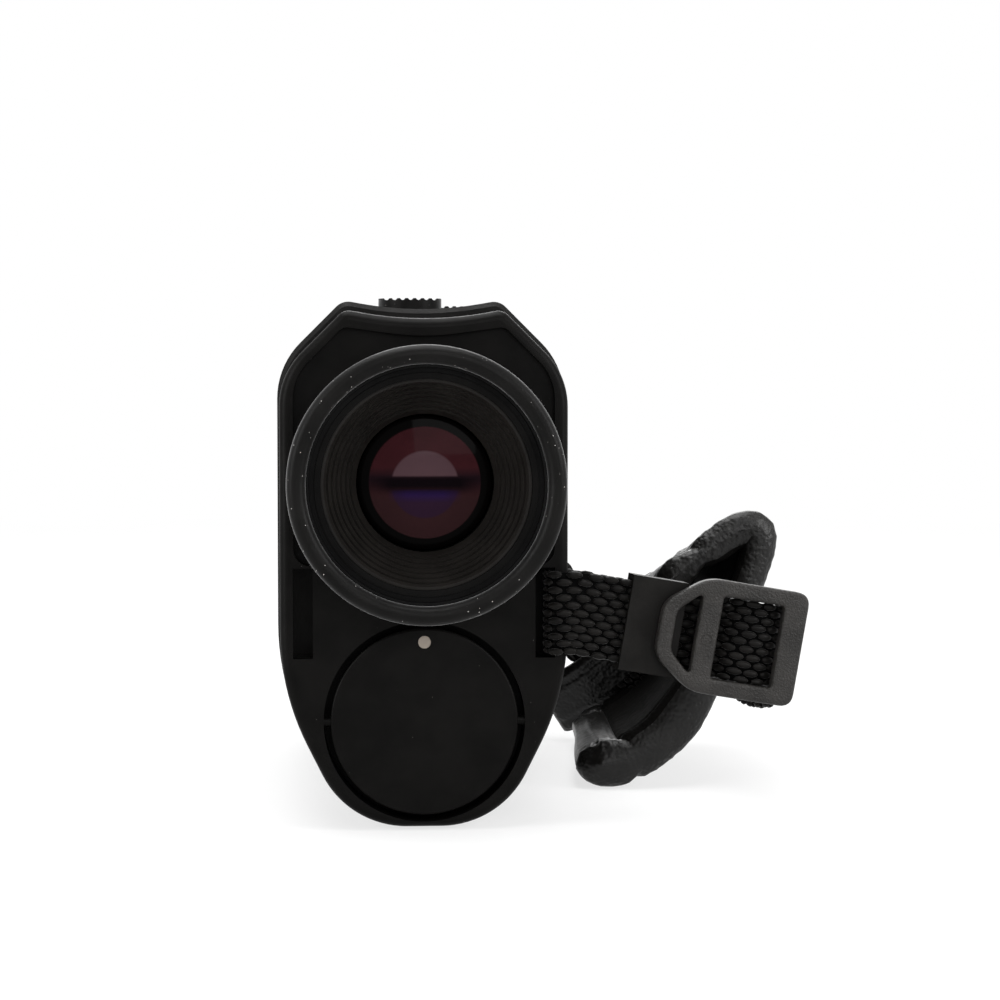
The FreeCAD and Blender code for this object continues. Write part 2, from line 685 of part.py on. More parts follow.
# Battery cover, cell and holder
COVER_FRONT = f"({REAR} + cover_thickness)"
cover_disc = disc("cover_disc", "cover_radius", REAR, COVER_FRONT, "battery_height")
made.remove(cover_disc)
round_edges(cover_disc, "0.4", lambda edge: abs(edge.Length) > 1 and
            abs(math.hypot(edge.Vertexes[0].Point.x, edge.Vertexes[0].Point.z) - DIMENSIONS["cover_radius"]) < 1e-3)
pivots = doc.addObject("Part::Cylinder", "cover_pivots")
pivots.Placement = Placement(Vector(), Rotation(Vector(0, 1, 0), 90))
pivots.setExpression("Radius", bind("trunnion_radius"))
pivots.setExpression("Height", bind("2 * (cover_radius + cover_gap + trunnion_depth)"))
place(pivots, "-(cover_radius + cover_gap + trunnion_depth)", trunnion_y, "battery_height")
dot_height = "battery_height + dot_offset"
cut("battery_cover", fused("cover_with_pivots", [cover_disc, pivots]),
    [rod("dot_seat", "dot_radius", REAR, f"{REAR} + dot_depth", dot_height)])
disc("cover_press_dot", "dot_radius - 0.02", REAR, f"{REAR} + dot_depth", dot_height)
disc("cover_contact", "contact_radius", COVER_FRONT, f"{COVER_FRONT} + contact_height", "battery_height")
POWER_BACK = f"({REAR} + cell_place)"
POWER_FRONT = f"({POWER_BACK} + cell_length)"
turned("battery_cell", [
    ("0", POWER_BACK), ("cell_radius", POWER_BACK), ("cell_radius", POWER_FRONT),
    ("cell_radius * 0.4", POWER_FRONT), ("cell_radius * 0.4", f"{POWER_FRONT} + cell_nub"),
    ("0", f"{POWER_FRONT} + cell_nub"),
], "battery_height")
HOLDER_BORE = "(cell_radius + seat_gap * 2)"
HOLDER_OUTER = f"({HOLDER_BORE} + battery_wall)"
HOLDER_END = f"({POWER_FRONT} + cell_nub + 1.6)"
turned("battery_tube", [
    (HOLDER_BORE, f"{REAR} + bay_depth"), (HOLDER_OUTER, f"{REAR} + bay_depth"),
    (HOLDER_OUTER, f"{HOLDER_END} + battery_wall"), ("0", f"{HOLDER_END} + battery_wall"),
    ("0", HOLDER_END), (HOLDER_BORE, HOLDER_END),
], "battery_height")
disc("battery_front_contact", "cell_radius * 0.7", f"{POWER_FRONT} + cell_nub + 0.05", HOLDER_END, "battery_height")

# Chassis: a plate and two bulkheads that line up the tubes
plate_top = "(chassis_height + chassis_thickness)"
rear_wall_front = f"({BULKHEAD} + bulkhead_thickness)"
front_wall_front = f"({FRONT_BULKHEAD} + bulkhead_thickness)"
chassis_form = fused("chassis_form", [
    block("chassis_plate", ("-inner_half_width", BULKHEAD, "chassis_height"),
          ("inner_half_width", f"{HOUSING_FRONT} - 2", plate_top), keep=False),
    block("chassis_rear_wall", ("-inner_half_width", BULKHEAD, "chassis_height"),
          ("inner_half_width", rear_wall_front, "bulkhead_top"), keep=False),
    block("chassis_front_wall", ("-inner_half_width", FRONT_BULKHEAD, "chassis_height"),
          ("inner_half_width", front_wall_front, "bulkhead_top"), keep=False),
])
BOARD_TOP = "(chassis_height - board_gap)"
BOARD_BOTTOM = f"({BOARD_TOP} - board_thickness)"
BOARD_BACK = f"({BULKHEAD} + 8)"
BOARD_FRONT = f"({HOUSING_FRONT} - 6)"
board_spots = [(x, y) for x in ("-(inner_half_width - 3)", "(inner_half_width - 3)")
               for y in (f"({BOARD_BACK} + 3)", f"({BOARD_FRONT} - 3)")]
chassis_tools = [
    rod("stop_bore", "stop_radius", BULKHEAD, rear_wall_front, "sight_height"),
    rod("objective_bore", f"{OBJECTIVE_OUTER} + running_gap", FRONT_BULKHEAD, HOUSING_FRONT, "sight_height"),
]
board_holes, board_screws = [], []
for n, (x, y) in enumerate(board_spots):
    chassis_tools.append(post(f"chassis_tap_{n}", "screw_radius + running_gap", x, y, "chassis_height", plate_top))
    board_holes.append(post(f"board_hole_{n}", "screw_radius + running_gap", x, y, BOARD_BOTTOM, BOARD_TOP))
    board_screws.append(fused(f"board_screw_{n}", [
        post(f"board_shank_{n}", "screw_radius", x, y, BOARD_BOTTOM, f"{plate_top} - 0.5"),
        post(f"board_head_{n}", "screw_head_radius", x, y, f"{BOARD_BOTTOM} - screw_head_height", BOARD_BOTTOM),
    ]))
cut("optics_chassis", chassis_form, chassis_tools)
tube("field_stop", "stop_radius - 0.02", "stop_radius - 2.5", f"{BULKHEAD} + 0.5", f"{rear_wall_front} - 0.5",
     "sight_height")
cut("main_board", block("board_blank", ("-(inner_half_width - 0.5)", BOARD_BACK, BOARD_BOTTOM),
                        ("inner_half_width - 0.5", BOARD_FRONT, BOARD_TOP), keep=False), board_holes)
grouped("board_screws", board_screws)
chips = []
for n, (x, y, wide, long) in enumerate(((-8, -12, 10, 10), (6, -14, 7, 7), (-6, 6, 5, 9), (7, 4, 8, 12), (0, 22, 9, 6))):
    chips.append(block(f"chip_{n}", (f"{x - wide / 2}", f"{y - long / 2}", f"{BOARD_BOTTOM} - 1.2"),
                       (f"{x + wide / 2}", f"{y + long / 2}", BOARD_BOTTOM), keep=False))
grouped("board_chips", chips)

# Prisms on their cradle under a spring clip, with the display and the detector
PRISM_BASE = f"({plate_top} + cradle_thickness)"
PRISM_TOP = f"({PRISM_BASE} + prism_height)"
PRISM_BACK = f"({rear_wall_front} + 6)"
block("prism_cradle", ("-prism_width / 2 - 1", f"{PRISM_BACK} - 1", plate_top),
      ("prism_width / 2 + 1", f"{PRISM_BACK} + rear_prism_length + front_prism_length + 1", PRISM_BASE))
rear_toe = f"({PRISM_BACK} + rear_prism_length)"
rear_heel = f"({rear_toe} - prism_slant)"
prism_end = f"({rear_toe} + front_prism_length)"
for name, corners in (
    ("rear_prism", [(PRISM_BACK, PRISM_BASE), (rear_toe, PRISM_BASE), (rear_heel, PRISM_TOP), (PRISM_BACK, PRISM_TOP)]),
    ("front_prism", [(f"{rear_toe} + prism_air", PRISM_BASE), (prism_end, PRISM_BASE), (prism_end, PRISM_TOP),
                     (f"{rear_heel} + prism_air", PRISM_TOP)]),
):
    body = new_body(name)
    pad(body, outline(body, "YZ_Plane", corners), "prism_width", middle=True)
clip = new_body("prism_clip", y=f"{rear_heel} - 4")
leg, far_leg = "(prism_width / 2 + 0.1)", "(prism_width / 2 + 0.1 + clip_thickness)"
clip_side = [(far_leg, PRISM_BASE), (far_leg, f"({PRISM_TOP} + clip_thickness)")]
clip_under = [(leg, PRISM_TOP), (leg, PRISM_BASE)]
mirror = [(f"-{x}", z) for x, z in reversed(clip_side)]
mirror_under = [(f"-{x}", z) for x, z in reversed(clip_under)]
pad(clip, outline(clip, "XZ_Plane", clip_side + mirror + mirror_under + clip_under), "8", reverse=True)
block("display_module", ("-7", rear_wall_front, "sight_height + stop_radius + 0.5"),
      ("7", f"{rear_wall_front} + 2.4", "bulkhead_top"))
detector_y = f"({rear_toe} + 6)"
detector_can = post("detector_can", "4", "0", detector_y, PRISM_TOP, f"{PRISM_TOP} + 2.2")
detector_card = block("detector_card", ("-7", f"{detector_y} - 7", f"{PRISM_TOP} + 2.2"),
                      ("7", f"{detector_y} + 7", f"{PRISM_TOP} + 3.2"), keep=False)
fused("laser_detector", [detector_can, detector_card], keep=True)

# Objective and laser emitter
OBJECTIVE_FRONT = f"({FRONT} - objective_setback)"
OBJECTIVE_BACK = f"({OBJECTIVE_FRONT} - objective_length)"
tube("objective_cell", OBJECTIVE_OUTER, "objective_radius + running_gap", OBJECTIVE_BACK, OBJECTIVE_FRONT,
     "sight_height")
front_lens_back = f"({OBJECTIVE_FRONT} - front_lens_thickness - 2)"
rear_lens_back = f"({front_lens_back} - rear_lens_thickness - 0.4)"
objective_sag = "(objective_curve - sqrt(objective_curve ^ 2 - (objective_radius - ring_seat) ^ 2))"
lens("objective_front_lens", "objective_radius", front_lens_back, "front_lens_thickness", "objective_curve",
     "sight_height")
lens("objective_rear_lens", "objective_radius", rear_lens_back, "rear_lens_thickness", "objective_curve",
     "sight_height")
ring_seat = f"({front_lens_back} + front_lens_thickness - {objective_sag})"
tube("objective_retainer", "objective_radius", "objective_radius - ring_seat", ring_seat, f"{ring_seat} + retainer_length",
     "sight_height")
EMITTER_BACK = f"({OBJECTIVE_FRONT} - emitter_length)"
turned("emitter_cell", [
    ("diode_radius + seat_gap", EMITTER_BACK), (EMITTER_OUTER, EMITTER_BACK), (EMITTER_OUTER, OBJECTIVE_FRONT),
    ("emitter_radius + running_gap", OBJECTIVE_FRONT), ("emitter_radius + running_gap", f"{EMITTER_BACK} + 2"),
    ("diode_radius + seat_gap", f"{EMITTER_BACK} + 2"),
], "emitter_height")
emitter_lens_back = f"({OBJECTIVE_FRONT} - emitter_lens_thickness - 2)"
emitter_sag = "(emitter_curve - sqrt(emitter_curve ^ 2 - (emitter_radius - ring_seat) ^ 2))"
lens("emitter_lens", "emitter_radius", emitter_lens_back, "emitter_lens_thickness", "emitter_curve", "emitter_height")
emitter_seat = f"({emitter_lens_back} + emitter_lens_thickness - {emitter_sag})"
tube("emitter_retainer", "emitter_radius", "emitter_radius - ring_seat", emitter_seat, f"{emitter_seat} + retainer_length",
     "emitter_height")
disc("laser_diode", "diode_radius", EMITTER_BACK, f"{EMITTER_BACK} + 4", "emitter_height")
block("laser_board", ("-8", f"{EMITTER_BACK} - board_thickness", "emitter_height - 8"),
      ("8", EMITTER_BACK, "emitter_height + 8"))

# Buttons with their seals and switches on a small board under the saddle
SEAL_TOP = f"({SADDLE_BOTTOM} - wall)"
FLANGE_TOP = f"({SEAL_TOP} - seal_thickness)"
FLANGE_BOTTOM = f"({FLANGE_TOP} - button_flange)"
DOME_TOP = f"({FLANGE_BOTTOM} - button_travel - seat_gap)"
for label, (x, y, radius, rise) in BUTTONS.items():
    top = f"({SADDLE_BOTTOM} + 0.65 + {rise})"
    cap = fused(f"{label}_button_form", [
        post(f"{label}_stem", radius, x, y, FLANGE_BOTTOM, top),
        post(f"{label}_flange", f"{radius} + 0.9", x, y, FLANGE_BOTTOM, FLANGE_TOP),
    ])
    ribs = []
    reach = "button_rib_pitch * 3" if label == "measure" else "button_rib_pitch"
    count = 7 if label == "measure" else 3
    for n in range(count):
        across = f"{x} - {reach} + button_rib_pitch * {n}"
        ribs.append(rod(f"{label}_rib_{n}", "button_rib", f"{y} - {radius} - 1", f"{y} + {radius} + 1",
                        f"{top} + button_rib * 0.3", across))
    cut(f"{label}_button", cap, ribs)
    seal = post(f"{label}_seal_disc", f"{radius} + seal_width", x, y, FLANGE_TOP, SEAL_TOP)
    bore = post(f"{label}_seal_bore", f"{radius} + button_clearance", x, y, FLANGE_TOP, SEAL_TOP)
    cut(f"{label}_button_seal", seal, [bore])
    dome = post(f"{label}_dome", "dome_radius", x, y, SWITCH_BOARD_TOP, DOME_TOP)
    dome.Label = f"{label}_switch"
    made.append(dome)
switch_blank = block("switch_blank", ("-8", f"{BOARD_PLACES[0]} - 4", f"{SWITCH_BOARD_TOP} - 1.2"),
                     ("12", f"{BOARD_PLACES[1]} + 4", SWITCH_BOARD_TOP), keep=False)
switch_holes, switch_screws = [], []
for n, y in enumerate(BOARD_PLACES):
    seat = f"({SWITCH_BOARD_TOP} - 1.2)"
    switch_holes.append(post(f"switch_hole_{n}", "screw_radius + running_gap", "0", y, seat, SWITCH_BOARD_TOP))
    switch_screws.append(fused(f"switch_screw_{n}", [
        post(f"switch_shank_{n}", "screw_radius", "0", y, seat, f"{seat} + screw_grip"),
        post(f"switch_head_{n}", "screw_head_radius", "0", y, f"{seat} - screw_head_height", seat),
    ]))
cut("switch_board", switch_blank, switch_holes)
grouped("switch_board_screws", switch_screws)
flex = new_body("button_flex", y=f"{BOARD_PLACES[1]} - 6")
flex_outer, flex_inner = "(inner_half_width + 0.7)", "(inner_half_width + 0.4)"
flex_top, flex_low = f"({SWITCH_BOARD_TOP} - 1.2)", f"({BOARD_BOTTOM} - 0.3)"
pad(flex, outline(flex, "XZ_Plane", [
    ("8", f"{flex_top} - 0.3"), (flex_inner, f"{flex_top} - 0.3"), (flex_inner, BOARD_BOTTOM),
    ("14", BOARD_BOTTOM), ("14", flex_low), (flex_outer, flex_low), (flex_outer, flex_top), ("8", flex_top),
]), "6", reverse=True)

# Hand strap: webbing round the rear bar, keeper, buckle, padded leather and front tab
BAR_OUT = "(body_width / 2)"
PLY = "strap_thickness"


def aim(thing, x, y, z, pitch="strap_pitch", yaw="strap_yaw"):
    """Puts a piece drawn along +X into the strap's sloping run."""
    turn = Rotation(Vector(0, 0, 1), DIMENSIONS[yaw]) * Rotation(Vector(0, 1, 0), DIMENSIONS[pitch])
    thing.Placement = Placement(Vector(), turn)
    place(thing, x, y, z)


RUN_X, RUN_Y = f"({BAR_OUT} + 0.5)", f"({REAR} - soft_gap - {PLY} / 2)"


def strap_piece(name, points, width, keep=False):
    """A closed outline in the strap's own plan view, as thick as the strap is wide."""
    body = new_body(name, keep=keep)
    pad(body, outline(body, "XY_Plane", points), width, middle=True)
    aim(body, RUN_X, RUN_Y, "slot_middle")
    return body


half_ply = f"({PLY} / 2)"
second_low, second_high = f"({half_ply} + seat_gap)", f"({half_ply} + seat_gap + {PLY})"
webbing_run = strap_piece("webbing_run", [
    ("1.5", f"-{half_ply}"), ("strap_run + 3", f"-{half_ply}"), ("strap_run + 5.5", "2.5"), ("strap_run + 5.5", "10"),
    ("strap_run - 1.6", "pad_rear_place - 3"), ("strap_run - 3", "pad_rear_place - 3"), ("strap_run + 4.1", "10"), ("strap_run + 4.1", "3"),
    ("strap_run + 2.4", half_ply), ("1.5", half_ply),
], "strap_width")
webbing_return = strap_piece("webbing_return", [
    ("1.2", "3.4"), ("6", second_low), ("strap_run - 2", second_low), ("strap_run - 2", second_high),
    ("6.4", second_high), ("1.6", "4.7"),
], "strap_width")
webbing_bulge = strap_piece("webbing_bulge", [
    ("26", f"-{half_ply}"), ("29", "-2.2"), ("36", "-2.4"), ("38", f"-{half_ply}"), ("38", "0"), ("26", "0"),
], "strap_width - 0.6")


def bar_loop(name, face, inward):
    """Webbing folded round a corner bar; inward is +1 at the rear end and -1 in front."""
    loop = new_body(name, x=BAR_OUT, y=face, z="slot_middle", keep=False)
    near, deep = f"(-{inward} * soft_gap)", f"({inward} * (bar_depth + soft_gap))"
    near_out, deep_out = f"({near} - {inward} * {PLY})", f"({deep} + {inward} * {PLY})"
    pad(loop, outline(loop, "XY_Plane", [
        ("3.4", near_out), (outside, near_out), (outside, deep_out), ("3", deep_out),
        ("3", deep), (inside, deep), (inside, near), ("3.4", near),
    ]), "strap_width", middle=True)
    return loop


inside, outside = "(-bar_width - soft_gap)", f"(-bar_width - soft_gap - {PLY})"
loop = bar_loop("webbing_loop", REAR, 1)
fused("strap_webbing", [webbing_run, webbing_return, webbing_bulge, loop], keep=True)

keeper_end = "(keeper_place + keeper_length)"
keeper_low, keeper_high = f"(-{half_ply} - seat_gap * 2)", f"({second_high} + seat_gap * 2)"
keeper_outer = strap_piece("keeper_outer", [
    ("keeper_place", f"{keeper_low} - keeper_wall"), (keeper_end, f"{keeper_low} - keeper_wall"),
    (keeper_end, f"{keeper_high} + keeper_wall"), ("keeper_place", f"{keeper_high} + keeper_wall"),
], "strap_width + 2 * (keeper_wall + seat_gap * 2)")
keeper_inner = strap_piece("keeper_inner", [
    ("keeper_place - 1", keeper_low), (f"{keeper_end} + 1", keeper_low), (f"{keeper_end} + 1", keeper_high),
    ("keeper_place - 1", keeper_high),
], "strap_width + 2 * seat_gap * 2")
cut("strap_keeper", keeper_outer, [keeper_inner])


def buckle_piece(name, points, low, high):
    """An outline in the buckle's face (along the strap, up), from depth low to depth high."""
    body = new_body(name, keep=False)
    pad(body, outline(body, "XZ_Plane", points, offset=low), f"({high}) - ({low})", reverse=True)
    aim(body, RUN_X, RUN_Y, "slot_middle")
    return body, body.Group[0]


BUCKLE_HIGH = f"({keeper_low} - keeper_wall - seat_gap)"
BUCKLE_LOW = f"({BUCKLE_HIGH} - buckle_thickness)"
buckle_end_x = "(buckle_place + buckle_length)"
half_nose, half_buckle = "(buckle_nose / 2)", "(buckle_width / 2)"
shoulder_x = "(buckle_place + buckle_shoulder)"
frame_form, frame_sketch = buckle_piece("buckle_form", [
    ("buckle_place", f"-{half_nose}"), (shoulder_x, f"-{half_buckle}"), (buckle_end_x, f"-{half_buckle}"),
    (buckle_end_x, half_buckle), (shoulder_x, half_buckle), ("buckle_place", half_nose),
], BUCKLE_LOW, BUCKLE_HIGH)
nose_hole, _ = buckle_piece("buckle_nose_hole", [
    ("buckle_place + buckle_rail", f"-{half_nose} + 0.8"),
    ("buckle_place + crossbar_place", f"-{half_buckle} + buckle_rail"),
    ("buckle_place + crossbar_place", f"{half_buckle} - buckle_rail"),
    ("buckle_place + buckle_rail", f"{half_nose} - 0.8"),
], f"{BUCKLE_LOW} - 1", f"{BUCKLE_HIGH} + 1")
window_start, window_end = "(buckle_place + crossbar_place + crossbar_width)", f"({buckle_end_x} - buckle_end)"
window_half = f"({half_buckle} - buckle_rail)"
window, _ = buckle_piece("buckle_window", [
    (window_start, f"-{window_half}"), (window_end, f"-{window_half}"), (window_end, window_half),
    (window_start, window_half),
], f"{BUCKLE_LOW} - 1", f"{BUCKLE_HIGH} + 1")
cut("strap_buckle", frame_form, [nose_hole, window])

# Padded leather: a curled section, low lobe on the ground, run along Y
pad_body = new_body("strap_pad", x="body_width / 2", y=f"{REAR} + pad_rear_place")
pad_points = [("24.5", "47.5"), ("38.5", "54.5"), ("44", "49.5"), ("32", "14"), ("21.5", "1.2"), ("10.5", "0"),
              ("3.5", "3"), ("5", "8"), ("11.5", "5.6"), ("19", "7"), ("26.5", "17"), ("37", "47"), ("35.5", "49"),
              ("26.5", "43")]
pad(pad_body, outline(pad_body, "XZ_Plane", pad_points), "body_length - pad_rear_place - pad_front_place",
    reverse=True)
tab_run = new_body("tab_run", keep=False)
pad(tab_run, outline(tab_run, "XY_Plane", [
    ("1.5", half_ply), ("34", "0"), ("35.4", "-5.2"), ("34.1", "-5.2"), ("32.8", "-1.3"), ("1.5", f"-{half_ply}"),
]), "strap_width", middle=True)
aim(tab_run, RUN_X, f"({FRONT} + soft_gap + {PLY} / 2)", "slot_middle", yaw="tab_yaw")
fused("strap_front_tab", [tab_run, bar_loop("tab_loop", FRONT, -1)], keep=True)

doc.recompute()
problems = [item.Name for item in doc.Objects if "Invalid" in item.State or "Error" in item.State]
for piece in made:
    if piece.Shape.isNull() or not piece.Shape.isValid() or not piece.Shape.Solids:
        problems.append(piece.Label)
if problems:
    raise RuntimeError("failed: " + ", ".join(problems))
for piece in made:
    piece.Shape.exportStep(f"parts/{piece.Label}.step")
    print(f"{piece.Label}: {len(piece.Shape.Solids)} solid(s), {piece.Shape.Volume:.0f} mm3")
print(len(made), "nodes")
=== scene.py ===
# %% [markdown]
# # A pocket laser rangefinder on a pale table
# The casing, the eyepiece, the buckle and everything that moves come from the construction model, which is
# loaded as a fixed frame. This lesson gives those parts their finishes and then makes the soft goods: woven
# webbing and a padded leather hand strap. All sizes are in metres, so one millimetre has a name of its own.

# %% Loading the frame
import bmesh
import bpy
import json
import math
import random
from mathutils import Matrix, Vector, noise


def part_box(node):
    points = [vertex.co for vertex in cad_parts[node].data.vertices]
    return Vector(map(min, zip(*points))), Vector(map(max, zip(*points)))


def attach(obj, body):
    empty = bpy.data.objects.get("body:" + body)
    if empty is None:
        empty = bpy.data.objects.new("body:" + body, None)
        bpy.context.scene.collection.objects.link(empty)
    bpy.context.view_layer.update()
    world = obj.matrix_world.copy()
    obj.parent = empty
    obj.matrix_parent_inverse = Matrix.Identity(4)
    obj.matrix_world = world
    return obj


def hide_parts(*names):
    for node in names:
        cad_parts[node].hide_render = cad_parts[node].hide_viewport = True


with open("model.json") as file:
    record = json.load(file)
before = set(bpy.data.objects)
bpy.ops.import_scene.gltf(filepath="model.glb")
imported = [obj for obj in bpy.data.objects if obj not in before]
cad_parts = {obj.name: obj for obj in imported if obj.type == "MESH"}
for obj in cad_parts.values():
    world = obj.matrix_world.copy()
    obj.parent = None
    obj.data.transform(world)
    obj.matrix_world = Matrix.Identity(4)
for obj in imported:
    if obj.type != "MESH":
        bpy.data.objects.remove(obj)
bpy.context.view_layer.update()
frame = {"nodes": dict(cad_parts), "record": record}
MM = 0.001
random.seed(7)

# %% [markdown]
# ## The camera
# The camera looks from behind, along the line of sight, through a long lens. It can be placed by eye, but
# it's easier to keep if it is worked out: stand a set distance from a point on the rear cap, a little to
# the left and a little above, and turn so that the point lands left of the middle and the strap has room on
# the right.

# %% Camera
cap_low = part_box("rear_cap")[0]
lens_low, lens_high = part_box("eye_lens")
sight_height = (lens_low.z + lens_high.z) / 2
rear_point = Vector((0, cap_low.y, sight_height))
stand_off = 450 * MM
frame_width = 172 * MM
looking_across, looking_down = math.radians(1.9), math.radians(2.5)
turned_right, turned_down = math.radians(1.66), math.radians(0.40)


def sight_direction(across, down):
    """The direction a camera looks in: along +Y, turned towards +X and tipped down."""
    return Vector((math.sin(across) * math.cos(down), math.cos(across) * math.cos(down), -math.sin(down)))


camera_data = bpy.data.cameras.new("camera")
camera_data.lens = camera_data.sensor_width * stand_off / frame_width
camera_data.clip_start, camera_data.clip_end = 0.01, 20
camera = bpy.data.objects.new("camera", camera_data)
bpy.context.scene.collection.objects.link(camera)
camera.location = rear_point - sight_direction(looking_across, looking_down) * stand_off
facing = sight_direction(looking_across + turned_right, looking_down + turned_down)
camera.rotation_euler = facing.to_track_quat("-Z", "Y").to_euler()
bpy.context.scene.camera = camera
bpy.context.scene.view_settings.view_transform = "Standard"
print("focal length", round(camera_data.lens, 1), "mm")

# %% [markdown]
# ## The table, the white room and the lamps
# A black object is drawn by its reflections, so it gets big soft lamps: one overhead, one low on each side.
# A white background could come from brighter lamps, but that would wash out the black plastic. Here the
# world is white only for rays that come from the camera, a reflection or a glass surface, and gives little
# light otherwise.

# %% Room helpers
def link_nodes(tree, *pairs):
    for start, end in pairs:
        tree.links.new(start, end)


def seen_directly(tree):
    """1 for camera, glossy and transmission rays, and 0 for the rays that carry light."""
    path = tree.nodes.new("ShaderNodeLightPath")
    first = tree.nodes.new("ShaderNodeMath")
    second = tree.nodes.new("ShaderNodeMath")
    first.operation = second.operation = "MAXIMUM"
    link_nodes(tree, (path.outputs["Is Camera Ray"], first.inputs[0]),
               (path.outputs["Is Glossy Ray"], first.inputs[1]), (first.outputs[0], second.inputs[0]),
               (path.outputs["Is Transmission Ray"], second.inputs[1]))
    return second.outputs[0]


# %% World and table
room_light = 0.25
floor_fade_start, floor_fade_end = 0.15, 0.9
floor_glow_near, floor_glow_far = 0.72, 1.0

world = bpy.data.worlds.new("white_room")
bpy.context.scene.world = world
world.use_nodes = True
room = world.node_tree
room.nodes.clear()
dim, white = room.nodes.new("ShaderNodeBackground"), room.nodes.new("ShaderNodeBackground")
dim.inputs["Color"].default_value = (1, 1, 1, 1)
dim.inputs["Strength"].default_value = room_light
white.inputs["Color"].default_value = (1, 1, 1, 1)
choose, result = room.nodes.new("ShaderNodeMixShader"), room.nodes.new("ShaderNodeOutputWorld")
link_nodes(room, (seen_directly(room), choose.inputs["Fac"]), (dim.outputs[0], choose.inputs[1]),
           (white.outputs[0], choose.inputs[2]), (choose.outputs[0], result.inputs["Surface"]))

bpy.ops.mesh.primitive_plane_add(size=6)
table = bpy.context.object
table.name = "table"
table_finish = bpy.data.materials.new("table_white")
table_finish.use_nodes = True
surface = table_finish.node_tree
surface.nodes.clear()
matte, glow = surface.nodes.new("ShaderNodeBsdfDiffuse"), surface.nodes.new("ShaderNodeEmission")
matte.inputs["Color"].default_value = (0.9, 0.9, 0.9, 1)
share = surface.nodes.new("ShaderNodeMath")
share.operation = "MULTIPLY"
table_place = surface.nodes.new("ShaderNodeTexCoord")
distance = surface.nodes.new("ShaderNodeVectorMath")
distance.operation = "LENGTH"
fade = surface.nodes.new("ShaderNodeMapRange")
fade.inputs["From Min"].default_value = floor_fade_start
fade.inputs["From Max"].default_value = floor_fade_end
fade.inputs["To Min"].default_value = floor_glow_near
fade.inputs["To Max"].default_value = floor_glow_far
link_nodes(surface, (table_place.outputs["Object"], distance.inputs[0]),
           (distance.outputs["Value"], fade.inputs["Value"]), (fade.outputs["Result"], share.inputs[1]))
blend_floor = surface.nodes.new("ShaderNodeMixShader")
floor_out = surface.nodes.new("ShaderNodeOutputMaterial")
link_nodes(surface, (seen_directly(surface), share.inputs[0]), (share.outputs[0], blend_floor.inputs["Fac"]),
           (matte.outputs[0], blend_floor.inputs[1]), (glow.outputs[0], blend_floor.inputs[2]),
           (blend_floor.outputs[0], floor_out.inputs["Surface"]))
table.data.materials.append(table_finish)

# %% Lamps
def soft_lamp(name, place, aim, size, watts):
    data = bpy.data.lights.new(name, "AREA")
    data.shape = "RECTANGLE"
    data.size, data.size_y = size
    data.energy = watts
    lamp = bpy.data.objects.new(name, data)
    bpy.context.scene.collection.objects.link(lamp)
    lamp.location = place
    lamp.rotation_euler = (Vector(aim) - Vector(place)).to_track_quat("-Z", "Y").to_euler()


soft_lamp("overhead", (-0.05, -0.05, 0.75), (0.02, 0, 0.05), (0.7, 0.5), 7)
soft_lamp("left_strip", (-0.55, -0.35, 0.25), (0, 0, 0.06), (0.25, 0.5), 3)
soft_lamp("right_strip", (0.6, -0.35, 0.3), (0.03, 0, 0.04), (0.3, 0.5), 3.5)
soft_lamp("front_fill", (0.15, -0.8, 0.35), (0.02, 0, 0.05), (0.4, 0.3), 1.5)
soft_lamp("far_side", (0.1, 0.8, 0.5), (0.02, 0, 0.05), (0.6, 0.4), 3)

# %% [markdown]
# ## A base for every finish
# Every finish here is procedural. One function lays down a principled shader, mottles its colour and its
# roughness with two noises, and adds a fine grain as bump. Each finish below then adds only what is special
# to it. The noises read object coordinates, which are metres, so a grain size can be written as a real
# size.

